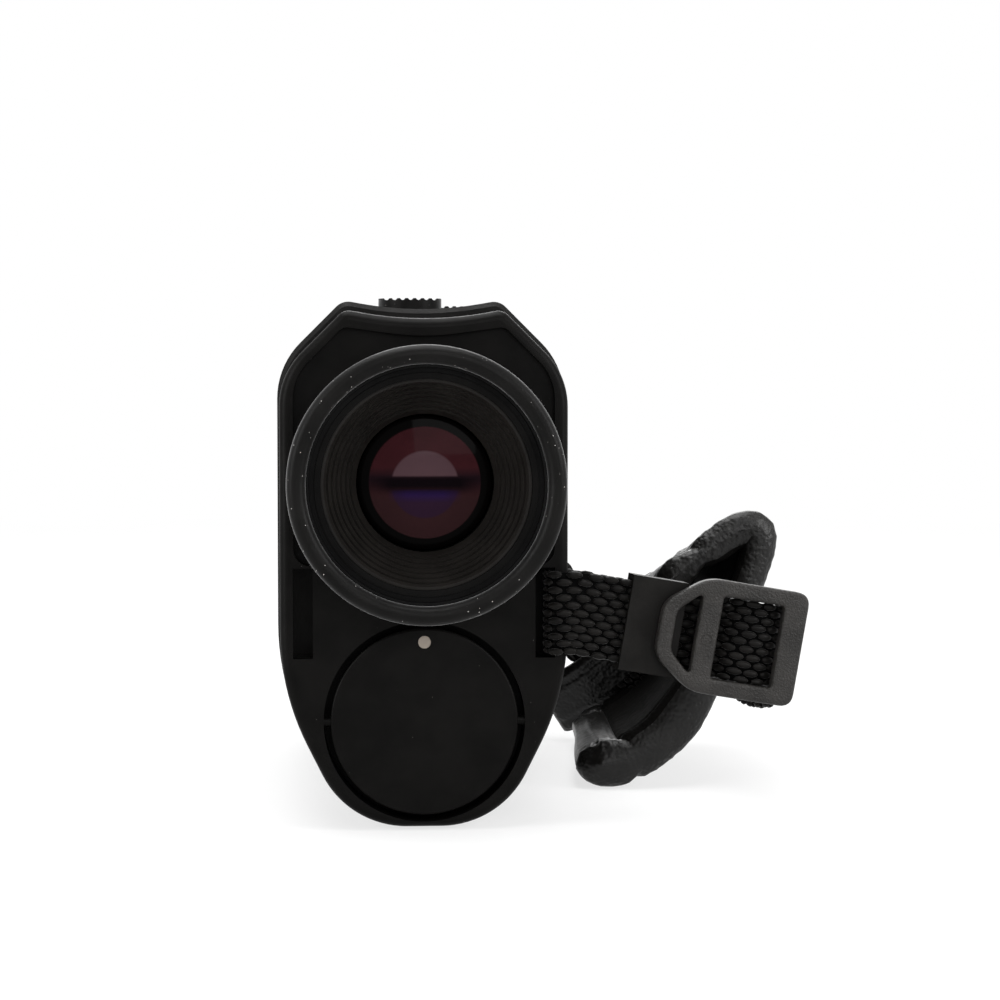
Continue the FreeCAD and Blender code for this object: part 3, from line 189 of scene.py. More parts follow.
# %% The base finish
class Finish:
    """A material in the making: the shader, and the bump chain that ends in its normal."""

    def __init__(self, name, color, rough, specular=0.3, metal=0.0, grain=0.25 * MM, depth=0.02 * MM,
                 mottle=0.25):
        self.material = bpy.data.materials.new(name)
        self.material.use_nodes = True
        self.tree = self.material.node_tree
        self.shader = self.tree.nodes["Principled BSDF"]
        self.shader.inputs["Metallic"].default_value = metal
        self.shader.inputs["Specular IOR Level"].default_value = specular
        self.place = self.tree.nodes.new("ShaderNodeTexCoord").outputs["Object"]
        self.last_bump = None
        patches = self.noise(6 * MM, 3)
        darker = [channel * (1 - mottle) for channel in color]
        lighter = [min(1, channel * (1 + mottle)) for channel in color]
        self.link(self.ramp(patches, (0.35, darker), (0.65, lighter)), self.shader.inputs["Base Color"])
        sheen = self.noise(2 * MM, 4)
        low, high = max(0.0, rough - 0.06), min(1.0, rough + 0.06)
        self.link(self.ramp(sheen, (0.3, (low,) * 3), (0.7, (high,) * 3)), self.shader.inputs["Roughness"])
        if depth:
            self.bump(self.noise(grain, 2), depth)

    def link(self, start, end):
        self.tree.links.new(start, end)

    def noise(self, size, detail=2, squash=(1, 1, 1)):
        stretch = self.tree.nodes.new("ShaderNodeMapping")
        stretch.inputs["Scale"].default_value = [1 / (size * part) for part in squash]
        texture = self.tree.nodes.new("ShaderNodeTexNoise")
        texture.inputs["Scale"].default_value = 1
        texture.inputs["Detail"].default_value = detail
        self.link(self.place, stretch.inputs["Vector"])
        self.link(stretch.outputs[0], texture.inputs["Vector"])
        return texture.outputs["Fac"]

    def cells(self, size, feature="F1"):
        texture = self.tree.nodes.new("ShaderNodeTexVoronoi")
        texture.feature = feature
        texture.inputs["Scale"].default_value = 1 / size
        self.link(self.place, texture.inputs["Vector"])
        return texture.outputs["Distance"]

    def ramp(self, value, *stops):
        node = self.tree.nodes.new("ShaderNodeValToRGB")
        elements = node.color_ramp.elements
        for element, (position, color) in zip(elements, (stops[0], stops[-1])):
            element.position = position
            element.color = (*color, 1)
        for position, color in stops[1:-1]:
            elements.new(position).color = (*color, 1)
        self.link(value, node.inputs["Fac"])
        return node.outputs["Color"]

    def bump(self, height, depth):
        node = self.tree.nodes.new("ShaderNodeBump")
        node.inputs["Distance"].default_value = depth
        self.link(height, node.inputs["Height"])
        if self.last_bump:
            self.link(self.last_bump, node.inputs["Normal"])
        self.last_bump = node.outputs["Normal"]
        self.link(self.last_bump, self.shader.inputs["Normal"])

    def over(self, mask, color):
        """Lays another colour over the base where mask is 1."""
        node = self.tree.nodes.new("ShaderNodeMix")
        node.data_type = "RGBA"
        base = self.shader.inputs["Base Color"]
        self.link(base.links[0].from_socket, node.inputs["A"])
        node.inputs["B"].default_value = (*color, 1)
        self.link(mask, node.inputs["Factor"])
        self.link(node.outputs["Result"], base)


# %% [markdown]
# ## Dust
# Black rubber always carries pale specks. They could be modelled, but thousands of tiny meshes are heavy,
# so a scattering of small round cells stands for them: each cell's middle is a speck, and a coarser noise
# decides which patches of the surface are dusty.

# %% Dust
def add_dust(finish, spacing=0.8 * MM, size=0.11, color=(0.45, 0.43, 0.41)):
    speck = finish.ramp(finish.cells(spacing), (size * 0.7, (1, 1, 1)), (size, (0, 0, 0)))
    dusty = finish.ramp(finish.noise(2.3 * MM, 2), (0.53, (0, 0, 0)), (0.58, (1, 1, 1)))
    both = finish.tree.nodes.new("ShaderNodeMath")
    both.operation = "MULTIPLY"
    finish.link(speck, both.inputs[0])
    finish.link(dusty, both.inputs[1])
    finish.over(both.outputs[0], color)


# %% [markdown]
# ## Finishes of the casing
# The casing is moulded: textured armour on the main shell, smoother satin plastic on the end caps, and soft
# rubber on the eyecup. They are all nearly the same black, so what tells them apart is their roughness and
# their grain.

# %% Casing finishes
def armour_finish():
    finish = Finish("armour", (0.006, 0.0058, 0.0055), 0.5, 0.07, grain=0.35 * MM, depth=0.05 * MM)
    finish.bump(finish.cells(0.5 * MM), 0.03 * MM)
    return finish.material


def satin_cap_finish():
    finish = Finish("satin_cap", (0.0030, 0.0028, 0.0026), 0.38, 0.045, grain=0.12 * MM, depth=0.012 * MM)
    add_dust(finish, 1.6 * MM, 0.04, (0.10, 0.095, 0.09))
    return finish.material


def soft_rubber_finish():
    finish = Finish("soft_rubber", (0.0036, 0.0034, 0.0032), 0.36, 0.06, grain=0.2 * MM, depth=0.03 * MM)
    finish.bump(finish.noise(1.5 * MM, 4), 0.04 * MM)
    finish.shader.inputs["Sheen Weight"].default_value = 0.3
    finish.shader.inputs["Sheen Roughness"].default_value = 0.35
    add_dust(finish)
    return finish.material


def grip_finish():
    finish = Finish("grip_rubber", (0.007, 0.0068, 0.0066), 0.6, 0.08, grain=0.3 * MM, depth=0.02 * MM)
    ribs = finish.tree.nodes.new("ShaderNodeTexWave")
    ribs.bands_direction = "Y"
    ribs.inputs["Scale"].default_value = 130
    finish.link(finish.place, ribs.inputs["Vector"])
    finish.bump(ribs.outputs["Fac"], 0.5 * MM)
    return finish.material


def baffle_finish():
    return Finish("baffle_black", (0.0085, 0.0076, 0.0068), 0.4, 0.10, depth=0, mottle=0.15).material


# %% [markdown]
# ## Finishes of the small hard parts
# The buckle is nylon filled with glass fibre, which comes out of the mould with a sparkling, pebbled skin.
# Metals are anodised, turned or brushed: brushing is a noise that is drawn out a long way in one direction.

# %% Hard finishes
def buckle_finish():
    finish = Finish("grained_nylon", (0.0155, 0.0143, 0.0132), 0.37, 0.2, grain=0.22 * MM, depth=0.14 * MM,
                    mottle=0.35)
    finish.bump(finish.cells(0.4 * MM), 0.10 * MM)
    return finish.material


def anodised_finish():
    finish = Finish("anodised_black", (0.007, 0.007, 0.007), 0.4, 0.15, grain=0.1 * MM, depth=0.01 * MM)
    return finish.material


def brushed_finish(name, color, rough=0.3):
    finish = Finish(name, color, rough, 0.5, metal=1.0, depth=0)
    finish.bump(finish.noise(0.1 * MM, 2, (1, 30, 1)), 0.01 * MM)
    return finish.material


def plain_plastic(name, color, rough=0.5):
    return Finish(name, color, rough, 0.4, grain=0.3 * MM, depth=0.015 * MM).material


def clear_glass_finish():
    finish = Finish("clear_glass", (0.9, 0.95, 0.95), 0.06, 0.5, depth=0, mottle=0.02)
    finish.shader.inputs["Transmission Weight"].default_value = 1.0
    finish.shader.inputs["IOR"].default_value = 1.52
    return finish.material


def front_glass_finish():
    """Coated glass seen from the front: nearly black inside, with a green and violet coating reflection
    painted into its colour by the viewing angle.
    """
    finish = Finish("front_glass", (0.01, 0.012, 0.016), 0.06, 0.15, depth=0, mottle=0.1)
    # Painted reflection: the colour changes with the viewing angle, as the coating's reflection would.
    facing = finish.tree.nodes.new("ShaderNodeLayerWeight").outputs["Facing"]
    coating_reflection_tint = finish.ramp(facing, (0.0, (0.006, 0.016, 0.016)), (0.35, (0.010, 0.007, 0.032)),
                        (0.9, (0.04, 0.012, 0.024)))
    finish.link(coating_reflection_tint, finish.shader.inputs["Base Color"])
    finish.shader.inputs["Coat Weight"].default_value = 0.15
    finish.shader.inputs["Coat Roughness"].default_value = 0.03
    return finish.material


# %% Finishes by material slot
finishes = {
    "armour": armour_finish(),
    "cap": satin_cap_finish(),
    "soft_rubber": soft_rubber_finish(),
    "grip_rubber": grip_finish(),
    "hard_black": buckle_finish(),
    "baffle_black": baffle_finish(),
    "black_metal": anodised_finish(),
    "brass": brushed_finish("turned_brass", (0.55, 0.38, 0.14)),
    "steel": brushed_finish("brushed_steel", (0.20, 0.20, 0.21), 0.4),
    "coated_glass": front_glass_finish(),
    "glass": clear_glass_finish(),
    "dot": plain_plastic("pale_dot", (0.17, 0.145, 0.12), 0.6),
    "board": plain_plastic("circuit_board", (0.01, 0.08, 0.03), 0.4),
    "chip": plain_plastic("chip_epoxy", (0.02, 0.02, 0.02), 0.35),
    "battery": plain_plastic("cell_sleeve", (0.03, 0.035, 0.06), 0.3),
    "flex": plain_plastic("amber_film", (0.35, 0.14, 0.02), 0.3),
}
own_finish = {
    # The next four parts get near-black finishes that are darker still, as painted shade inside the eyepiece
    # recess.
    "eyepiece_tube": Finish("tube_black_painted_shade", (0.0025, 0.0024, 0.0023), 0.5, 0.04).material,
    "eyecup_cam_ring": Finish("ring_black_painted_shade", (0.003, 0.003, 0.003), 0.5, 0.05).material,
    "ocular_cell": Finish("cell_black_painted_shade", (0.0035, 0.0034, 0.0032), 0.5, 0.05).material,
    "eyecup_sleeve": Finish("sleeve_black_painted_shade", (0.003, 0.003, 0.003), 0.5, 0.05).material,
    "strap_keeper": Finish("smooth_nylon", (0.0062, 0.0058, 0.0053), 0.42, 0.07, depth=0.02 * MM).material,
}
slot_of = {part["node"]: part["material_slot"] for part in frame["record"]["subparts"]}
for node, thing in frame["nodes"].items():
    finish = own_finish.get(node) or finishes.get(slot_of[node])
    if finish:
        thing.data.materials.clear()
        thing.data.materials.append(finish)
print("finishes:", len(finishes), "for", len(frame["nodes"]), "parts")

# %% [markdown]
# ## Softened edges
# Moulded parts never have knife edges, and a sharp edge catches no highlight. The meshes of the
# construction stay as they are: a bevel modifier rounds the strap keeper's edges as it is shown.

# %% Bevels
def soften(node, width, segments=2):
    thing = frame["nodes"][node]
    bevel = thing.modifiers.new("soft_edges", "BEVEL")
    bevel.width = width
    bevel.segments = segments
    bevel.limit_method = "ANGLE"
    bevel.angle_limit = math.radians(35)
    bevel.harden_normals = True


soften("strap_keeper", 0.8 * MM, 4)

# %% [markdown]
# ## The eye lens
# A coated lens shows the room upside down and in strange colours: a pale window, a violet ghost of it
# below, and a dark bar between them, on a deep red-brown ground. Real glass would need the whole optical
# train behind it to be exact, so the lens is a dome with those reflections in its colour and a clear coat
# that adds the real highlights.

# %% Lens dome
aperture = 11.7 * MM
dome_rise = 1.5 * MM
dome_back = lens_low.y + 0.1 * MM


def dome_mesh(name, radius, rise, rings=24, sectors=96):
    points, faces = [(0.0, 0.0, 0.0)], []
    for ring in range(1, rings + 1):
        reach = radius * ring / rings
        for sector in range(sectors):
            turn = 2 * math.pi * sector / sectors
            points.append((reach * math.cos(turn), rise * (ring / rings) ** 2, reach * math.sin(turn)))
    for sector in range(sectors):
        faces.append((0, 1 + sector, 1 + (sector + 1) % sectors))
    for ring in range(rings - 1):
        for sector in range(sectors):
            first, following = 1 + ring * sectors + sector, 1 + ring * sectors + (sector + 1) % sectors
            faces.append((first, first + sectors, following + sectors, following))
    faces.append(tuple(range(1 + (rings - 1) * sectors, 1 + rings * sectors)))
    mesh = bpy.data.meshes.new(name)
    mesh.from_pydata(points, [], faces)
    mesh.polygons.foreach_set("use_smooth", [True] * len(faces))
    return mesh


# All of these colours except the black rim are painted reflections of the room on the lens, not colours of
# the glass.
red_ground = (0.030, 0.007, 0.009)
lower_ground = (0.022, 0.0085, 0.0095)
dark_middle = (0.010, 0.004, 0.006)
pale_window = (0.062, 0.034, 0.040)
violet_ghost = (0.014, 0.006, 0.022)
violet_glow_reflection = (0.013, 0.006, 0.045)
dark_bar = (0.0025, 0.0012, 0.002)
black_rim = (0.001, 0.0008, 0.0008)
clear_radius = 9.65 * MM


def lens_reflection_finish():
    finish = Finish("eye_lens_painted_reflections", red_ground, 0.08, 0.01, depth=0, mottle=0.08)
    tree = finish.tree
    parts = tree.nodes.new("ShaderNodeSeparateXYZ")
    finish.link(finish.place, parts.inputs[0])

    def math_node(operation, first, second):
        node = tree.nodes.new("ShaderNodeMath")
        node.operation = operation
        for socket, value in zip(node.inputs, (first, second)):
            if isinstance(value, (int, float)):
                socket.default_value = value
            else:
                finish.link(value, socket)
        return node.outputs[0]

    across, up = parts.outputs["X"], parts.outputs["Z"]

    def round_mask(radius, centre_up, soft):
        lifted = math_node("SUBTRACT", up, centre_up)
        square = math_node("ADD", math_node("MULTIPLY", across, across),
                           math_node("MULTIPLY", lifted, lifted))
        distance = math_node("DIVIDE", math_node("SQRT", square, 0), radius)
        return finish.ramp(distance, (1 - soft, (1, 1, 1)), (1.0, (0, 0, 0)))

    def above(level, soft):
        share = math_node("DIVIDE", math_node("SUBTRACT", up, level), soft)
        return finish.ramp(share, (0.0, (0, 0, 0)), (1.0, (1, 1, 1)))

    def below(level, soft):
        share = math_node("DIVIDE", math_node("SUBTRACT", level, up), soft)
        return finish.ramp(share, (0.0, (0, 0, 0)), (1.0, (1, 1, 1)))

    window = round_mask(5.9 * MM, -0.3 * MM, 0.06)
    finish.over(below(3.0 * MM, 6.0 * MM), lower_ground)
    middle = math_node("MULTIPLY", below(2.6 * MM, 1.6 * MM), above(-1.9 * MM, 2.2 * MM))
    finish.over(middle, dark_middle)
    finish.over(math_node("MULTIPLY", window, above(0.9 * MM, 0.35 * MM)), pale_window)
    violet = math_node("MULTIPLY", window, below(-1.0 * MM, 0.6 * MM))
    finish.over(math_node("MULTIPLY", violet, 0.6), violet_ghost)
    glow = math_node("MULTIPLY", round_mask(6.4 * MM, -1.9 * MM, 0.5),
                     math_node("MULTIPLY", below(-1.0 * MM, 0.5 * MM), above(-3.4 * MM, 1.4 * MM)))
    finish.over(math_node("MULTIPLY", glow, 0.75), violet_glow_reflection)
    bar = math_node("MULTIPLY", below(1.3 * MM, 0.8 * MM), above(-2.3 * MM, 1.8 * MM))
    finish.over(math_node("MULTIPLY", bar, round_mask(10.2 * MM, 0.0, 0.4)), dark_bar)
    finish.over(math_node("SUBTRACT", 1.0, round_mask(clear_radius, 0.0, 0.02)), black_rim)
    finish.shader.inputs["Coat Weight"].default_value = 0.015
    finish.shader.inputs["Coat Roughness"].default_value = 0.03
    return finish.material


dome = bpy.data.objects.new("eye_lens_dome", dome_mesh("eye_lens_dome", aperture, dome_rise))
bpy.context.scene.collection.objects.link(dome)
dome.location = (0, dome_back, sight_height)
dome.data.materials.append(lens_reflection_finish())
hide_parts("eye_lens")
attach(dome, "ocular")
print("lens dome radius", round(aperture / MM, 1), "mm")

# %% [markdown]
# ## The path of a strap
# Webbing keeps its width and its length and only bends, so it is made along a path. A few given points
# are joined by a smooth curve, and the curve is then walked in equal steps. Each step also knows which
# way the width of the strap lies, because the strap leaves its slot upright and then leans.

# %% Strap path helpers
def smooth_path(points, step):
    """Equal steps along a Catmull-Rom curve; each point is (place, width direction)."""
    ends = [points[0]] + points + [points[-1]]
    fine = []
    for index in range(1, len(ends) - 2):
        around = ends[index - 1:index + 3]
        for part in range(40):
            t = part / 40
            weights = (-0.5 * t + t * t - 0.5 * t ** 3, 1 - 2.5 * t * t + 1.5 * t ** 3,
                       0.5 * t + 2 * t * t - 1.5 * t ** 3, -0.5 * t * t + 0.5 * t ** 3)
            fine.append(tuple(sum((around[k][kind] * weights[k] for k in range(4)), Vector())
                              for kind in (0, 1)))
    fine.append(points[-1])
    steps, travelled, due = [fine[0]], 0.0, step
    for (place, width), (following, next_width) in zip(fine, fine[1:]):
        length = (following - place).length
        while length and travelled + length >= due:
            share = (due - travelled) / length
            steps.append((place.lerp(following, share), width.lerp(next_width, share)))
            due += step
        travelled += length
    return steps


def strap_frames(steps):
    """For each step: place, direction along, direction across the width, direction out of the face."""
    frames = []
    for index, (place, width) in enumerate(steps):
        before, after = steps[max(0, index - 1)][0], steps[min(len(steps) - 1, index + 1)][0]
        along = (after - before).normalized()
        across = (width - along * width.dot(along)).normalized()
        frames.append((place, along, across, along.cross(across)))
    return frames


# %% [markdown]
# ## Woven webbing
# A bump map could draw the weave, but this webbing is so coarse that its yarns make its outline. So each
# visible float of yarn is a small flattened bead. The beads lie in rows along the strap, and every other
# row is shifted by half a bead, which is what a basket weave looks like. A thin core fills the gaps
# between them, coloured darker than the yarn as painted shade.

# %% Weave
strap_width = 14.6 * MM
yarn_rows = 11
yarn_length = 2.9 * MM
yarn_rise = 0.48 * MM
yarn_wander = 0.05
core_half = 0.3 * MM


def bead_template(sectors=8, rings=5):
    points, faces = [(-0.5, 0.0, 0.0)], []
    for ring in range(1, rings):
        angle = math.pi * ring / rings
        for sector in range(sectors):
            turn = 2 * math.pi * sector / sectors
            points.append((-0.5 * math.cos(angle), 0.5 * math.sin(angle) * math.cos(turn),
                           0.5 * math.sin(angle) * math.sin(turn)))
    points.append((0.5, 0.0, 0.0))
    last = len(points) - 1
    for sector in range(sectors):
        following = (sector + 1) % sectors
        faces.append((0, 1 + following, 1 + sector))
        faces.append((last, last - sectors + sector, last - sectors + following))
        for ring in range(rings - 2):
            first = 1 + ring * sectors
            above = first + sectors
            faces.append((first + sector, first + following, above + following, above + sector))
    return points, faces


def weave(name, points, body):
    """Webbing along a path: a flat core and two faces of staggered yarn beads."""
    frames = strap_frames(smooth_path(points, yarn_length / 2))
    vertices, faces = [], []
    template, template_faces = bead_template()
    row_pitch = strap_width / yarn_rows
    for index, (place, along, across, out) in enumerate(frames):
        for row in range(yarn_rows):
            if (index + row) % 2:
                continue
            offset = (row - (yarn_rows - 1) / 2) * row_pitch
            for side in (-1, 1):
                jitter = Vector([random.uniform(-yarn_wander, yarn_wander) * MM for _ in range(3)])
                centre = place + across * offset + out * side * yarn_rise * 0.75 + jitter
                stretch = random.uniform(0.96, 1.06)
                base = len(vertices)
                for x, y, z in template:
                    vertices.append(centre + along * (x * yarn_length * 0.95 * stretch)
                                    + across * (y * row_pitch * 0.96) + out * (z * yarn_rise * 2.1))
                faces += [tuple(base + corner for corner in face) for face in template_faces]
    core_start = len(vertices)
    for place, along, across, out in frames:
        for side in (-1, 1):
            for edge in (-1, 1):
                vertices.append(place + across * edge * (strap_width / 2 - core_half)
                                + out * side * core_half)
    ring = (0, 1, 3, 2)
    for index in range(len(frames) - 1):
        for corner in range(4):
            low = core_start + index * 4
            here, following = ring[corner], ring[(corner + 1) % 4]
            faces.append((low + here, low + following, low + 4 + following, low + 4 + here))
    for low in (core_start, core_start + 4 * (len(frames) - 1)):
        faces.append(tuple(low + corner for corner in ring))
    mesh = bpy.data.meshes.new(name)
    mesh.from_pydata(vertices, [], faces)
    mesh.polygons.foreach_set("use_smooth", [True] * len(faces))
    webbing = bpy.data.objects.new(name, mesh)
    bpy.context.scene.collection.objects.link(webbing)
    webbing.data.materials.append(yarn)
    webbing.data.materials.append(core_painted_shade)
    core_faces = 4 * (len(frames) - 1) + 2
    mesh.polygons.foreach_set("material_index", [0] * (len(faces) - core_faces) + [1] * core_faces)
    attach(webbing, body)
    print(name, "beads:", (len(vertices) - 4 * len(frames)) // len(template), "steps:", len(frames))
    return webbing


def yarn_finish():
    finish = Finish("webbing_yarn", (0.0038, 0.0034, 0.0030), 0.42, 0.07, depth=0, mottle=0.4)
    finish.bump(finish.noise(0.18 * MM, 2, (4, 4, 0.6)), 0.05 * MM)
    finish.shader.inputs["Sheen Weight"].default_value = 0.05
    finish.shader.inputs["Sheen Roughness"].default_value = 0.4
    return finish.material


yarn = yarn_finish()
# The core is yarn coloured darker than the beads, as painted shade in the gaps between them.
core_painted_shade = Finish("webbing_core_painted_shade", (0.0012, 0.0012, 0.0012), 0.8, 0.02, depth=0.03 * MM).material

# %% [markdown]
# ## Rear webbing
# The strap starts under the buckle, comes back through the keeper, goes round the upright bar at the corner
# of the rear cap and runs out again, under the crossbar and over the middle of the buckle. Past the buckle
# it turns towards the target and disappears into the end of the padded leather.

# %% Rear strap
bar_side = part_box("main_housing")[1].x
rear_face = cap_low.y
slot_middle = 37.8 * MM
strap_slope, strap_turn = math.radians(10), math.radians(6)
run_turn = Matrix.Rotation(strap_turn, 3, "Z") @ Matrix.Rotation(strap_slope, 3, "Y")
run_start = Vector((bar_side + 0.5 * MM, rear_face - 0.95 * MM, slot_middle))
upright = Vector((0, 0, 1))
leaning = run_turn @ upright
pad_low, pad_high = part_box("strap_pad")


def on_run(along, deep, drop=0):
    place = run_start + run_turn @ Vector((along * MM, deep * MM, 0))
    return place - Vector((0, 0, drop * MM)), leaning


def by_bar(across, deep):
    return Vector((bar_side + across * MM, rear_face + deep * MM, slot_middle)), upright


rear_path = [
    on_run(33, 1.6, 0.6), on_run(24, 1.6), on_run(8, 1.6), on_run(4, 2.6), by_bar(0.5, 4.1),
    by_bar(-3.4, 4.1), by_bar(-4.0, 1.6), by_bar(-3.4, -0.95), by_bar(0.5, -0.95), on_run(3, 0),
    on_run(8, 0), on_run(18, 0), on_run(25.5, 0), on_run(27.4, -1.9), on_run(30.6, -2.7),
    on_run(33.4, -2.4), on_run(36.4, -0.4), on_run(38.0, 0.8, 0.3), on_run(38.6, 3.4, 2.2),
    on_run(37.6, 8.5, 4.6), on_run(36.5, 19, 5.2),
    (Vector((57.2 * MM, pad_low.y + 6 * MM, 28 * MM)), leaning),
]
rear_webbing = weave("rear_webbing", rear_path, "housing")
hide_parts("strap_webbing")

# %% [markdown]
# ## The buckle
# The buckle is a moulded frame with a crossbar and rounded corners everywhere. A flat curve can carry the
# holes of such a frame by itself: the outer line and the two openings are splines of one curve, which is
# then given a thickness and a rounded edge. The corners are worked out by setting a small arc in each
# corner of a plain outline.

# %% Buckle outline helpers
def rounded_outline(corners, radius, steps=6):
    """The corner points with a small arc in place of each corner."""
    outline = []
    for index, corner in enumerate(corners):
        here = Vector(corner)
        before, after = Vector(corners[index - 1]), Vector(corners[(index + 1) % len(corners)])
        reach = min(radius, 0.45 * (before - here).length, 0.45 * (after - here).length)
        start = here + (before - here).normalized() * reach
        end = here + (after - here).normalized() * reach
        for step in range(steps + 1):
            t = step / steps
            outline.append(start.lerp(here, t).lerp(here.lerp(end, t), t))
    return outline


def flat_frame(name, outlines, thickness, edge):
    """A plate with rounded edges: the first outline is the outside and the rest are openings."""
    data = bpy.data.curves.new(name, "CURVE")
    data.dimensions = "2D"
    data.fill_mode = "BOTH"
    for outline in outlines:
        spline = data.splines.new("POLY")
        spline.points.add(len(outline) - 1)
        for point, place in zip(spline.points, outline):
            point.co = (place.x, place.y, 0, 1)
        spline.use_cyclic_u = True
    data.extrude = thickness / 2 - edge
    data.bevel_depth = edge
    data.bevel_resolution = 3
    data.offset = -edge
    curve = bpy.data.objects.new(name, data)
    bpy.context.scene.collection.objects.link(curve)
    bpy.context.view_layer.update()
    mesh = bpy.data.meshes.new_from_object(curve.evaluated_get(bpy.context.evaluated_depsgraph_get()))
    bpy.data.objects.remove(curve)
    return mesh


# %% Buckle
buckle_back, buckle_thick = -3.15 * MM, 2.6 * MM
half_width, half_nose = 10 * MM, 4.75 * MM
nose, shoulder, tail = 14.2 * MM, 21.4 * MM, 39.8 * MM
bar_start, window_start, window_end = 20.9 * MM, 24.6 * MM, 35.6 * MM
opening = half_width - 2.8 * MM
outer = [(nose, -half_nose), (shoulder, -half_width), (tail, -half_width), (tail, half_width),
         (shoulder, half_width), (nose, half_nose)]
nose_hole = [(nose + 2.6 * MM, -half_nose + 1.2 * MM), (bar_start, -opening), (bar_start, opening),
             (nose + 2.6 * MM, half_nose - 1.2 * MM)]
window = [(window_start, -opening), (window_end, -opening), (window_end, opening), (window_start, opening)]
outlines = [rounded_outline(outer, 2.4 * MM), rounded_outline(nose_hole, 1.3 * MM),
            rounded_outline(window, 0.6 * MM)]
buckle_mesh = flat_frame("buckle_frame", outlines, buckle_thick, 0.6 * MM)
buckle = bpy.data.objects.new("buckle_frame", buckle_mesh)
bpy.context.scene.collection.objects.link(buckle)
lay_down = Matrix(((1, 0, 0), (0, 0, 1), (0, 1, 0)))
to_place = Matrix.Translation(run_start) @ (run_turn @ lay_down).to_4x4()
for vertex in buckle_mesh.vertices:
    vertex.co = to_place @ (vertex.co + Vector((0, 0, buckle_back)))
buckle_mesh.flip_normals()
buckle_mesh.shade_smooth()
buckle_mesh.set_sharp_from_angle(angle=math.radians(40))
buckle_mesh.materials.clear()
buckle_mesh.materials.append(finishes["hard_black"])
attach(buckle, "housing")
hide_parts("strap_buckle")
print("buckle faces:", len(buckle_mesh.polygons))

# %% [markdown]
# ## Marks of the mould
# An ejector pin leaves a small round ring on the crossbar. It is a thin ring that just breaks the surface.

# %% Ejector mark
bpy.ops.mesh.primitive_torus_add(major_radius=0.95 * MM, minor_radius=0.13 * MM, major_segments=32,
                                 minor_segments=8)
mark = bpy.context.object
mark.name = "ejector_mark"
mark_spot = ((bar_start + window_start) / 2, -0.6 * MM, buckle_back - buckle_thick / 2)
mark_place = Matrix.Translation(Vector(mark_spot))
mark.data.transform(to_place @ mark_place)
mark.data.materials.append(finishes["hard_black"])
mark.data.shade_smooth()
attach(mark, "housing")

# %% [markdown]
# ## Front webbing
# The far end of the hand strap is held in the same way, by a shorter piece of the same webbing round the
# front bar.

# %% Front strap
front_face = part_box("front_bezel")[1].y


def by_front_bar(across, deep):
    return Vector((bar_side + across * MM, front_face - deep * MM, slot_middle)), upright


front_path = [
    by_front_bar(3.2, 4.1), by_front_bar(-3.4, 4.1), by_front_bar(-4.0, 1.6), by_front_bar(-3.4, -0.95),
    by_front_bar(1.5, -0.95),
    (Vector((33 * MM, front_face - 3 * MM, 28.5 * MM)), leaning),
    (Vector((43 * MM, front_face - 9 * MM, 20.5 * MM)), leaning),
    (Vector((51.0 * MM, pad_high.y - 7 * MM, 18.5 * MM)), leaning),
]
front_webbing = weave("front_webbing", front_path, "housing")
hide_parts("strap_front_tab")

# %% [markdown]
# ## The padded hand strap
# The pad is a strip of soft leather with foam inside. It has curled up on the table: its lower edge has
# rolled under and its upper edge bends over. It could be a cloth simulation, but the curl is already known,
# so it is a swept form. A smooth line gives the curl seen from the end, the thickness swells between the
# seams and pinches at them, and the rolled edge is a fatter bead. Noise that follows the curl adds the
# creases where the leather is bent most.

# %% Pad form
rear_curl = [(45.5, 37.6), (50.5, 42.0), (56.0, 46.0), (60.6, 49.0), (64.2, 49.4), (64.9, 45.6),
             (62.2, 37.0), (57.8, 27.0), (52.8, 18.0), (48.8, 12.2), (44.4, 8.2), (39.0, 5.4),
             (34.0, 5.0), (30.8, 6.8)]
front_curl = [(48.5, 31.6), (52.0, 34.2), (56.0, 37.0), (59.8, 39.6), (62.8, 40.0), (63.2, 36.5),
              (60.6, 30.0), (56.8, 22.0), (52.4, 15.0), (48.0, 10.4), (43.6, 7.2), (39.6, 5.4),
              (36.4, 4.6), (34.4, 5.2)]
pad_steps_round, pad_steps_long = 130, 90
curl_points = 400
lining_margin = 6
seam_place, end_seam_place = 0.105, 0.095


def curl_line(curl, count):
    corners = [(Vector((x * MM, 0, z * MM)), Vector((0, 1, 0))) for x, z in curl]
    fine = [place for place, _ in smooth_path(corners, 0.2 * MM)]
    return [fine[round(index * (len(fine) - 1) / (count - 1))] for index in range(count)]


rear_line, front_line = curl_line(rear_curl, curl_points), curl_line(front_curl, curl_points)


def pad_thickness(share, along):
    """Half the pad's thickness at a share across the curl and a share along the strap."""
    edge = min(share, 1 - share)
    end = min(along, 1 - along)
    closed_edge = math.sqrt(max(0.0, 1 - (1 - min(1.0, edge / 0.06)) ** 2))
    crown = 1.5 + 1.1 * math.sin(math.pi * min(1, max(0, (edge - seam_place) / 0.22)) / 2)
    pinch = 1.0 - 0.4 * math.exp(-((edge - seam_place) / 0.016) ** 2)
    if share < 0.5:
        roll = 2.3 * math.sqrt(max(0.0, 1 - ((edge - 0.045) / 0.045) ** 2)) if edge < 0.09 else 0
        swell = max(roll, crown * pinch if edge >= 0.05 else 0)
    else:
        swell = 2.5 * closed_edge * (1 - 0.26 * math.exp(-((edge - seam_place) / 0.012) ** 2))
    lower_part = min(1.0, max(0.0, (share - 0.50) / 0.24))
    fat_lobe = 1.7 * lower_part * math.exp(-(along / 0.35) ** 2) * closed_edge
    fat_arm = 0.9 * math.exp(-((share - 0.16) / 0.14) ** 2) * math.exp(-(along / 0.2) ** 2)
    end_roll = 0.5 * math.exp(-((end - 0.03) / 0.03) ** 2)
    closing = math.sqrt(max(0.0, 1 - (1 - min(1.0, end / 0.045)) ** 2))
    end_seam = 1.0 - 0.25 * math.exp(-((end - end_seam_place) / 0.014) ** 2)
    return max(0.1, (swell + fat_lobe + fat_arm + end_roll * closed_edge) * closing * end_seam) * MM


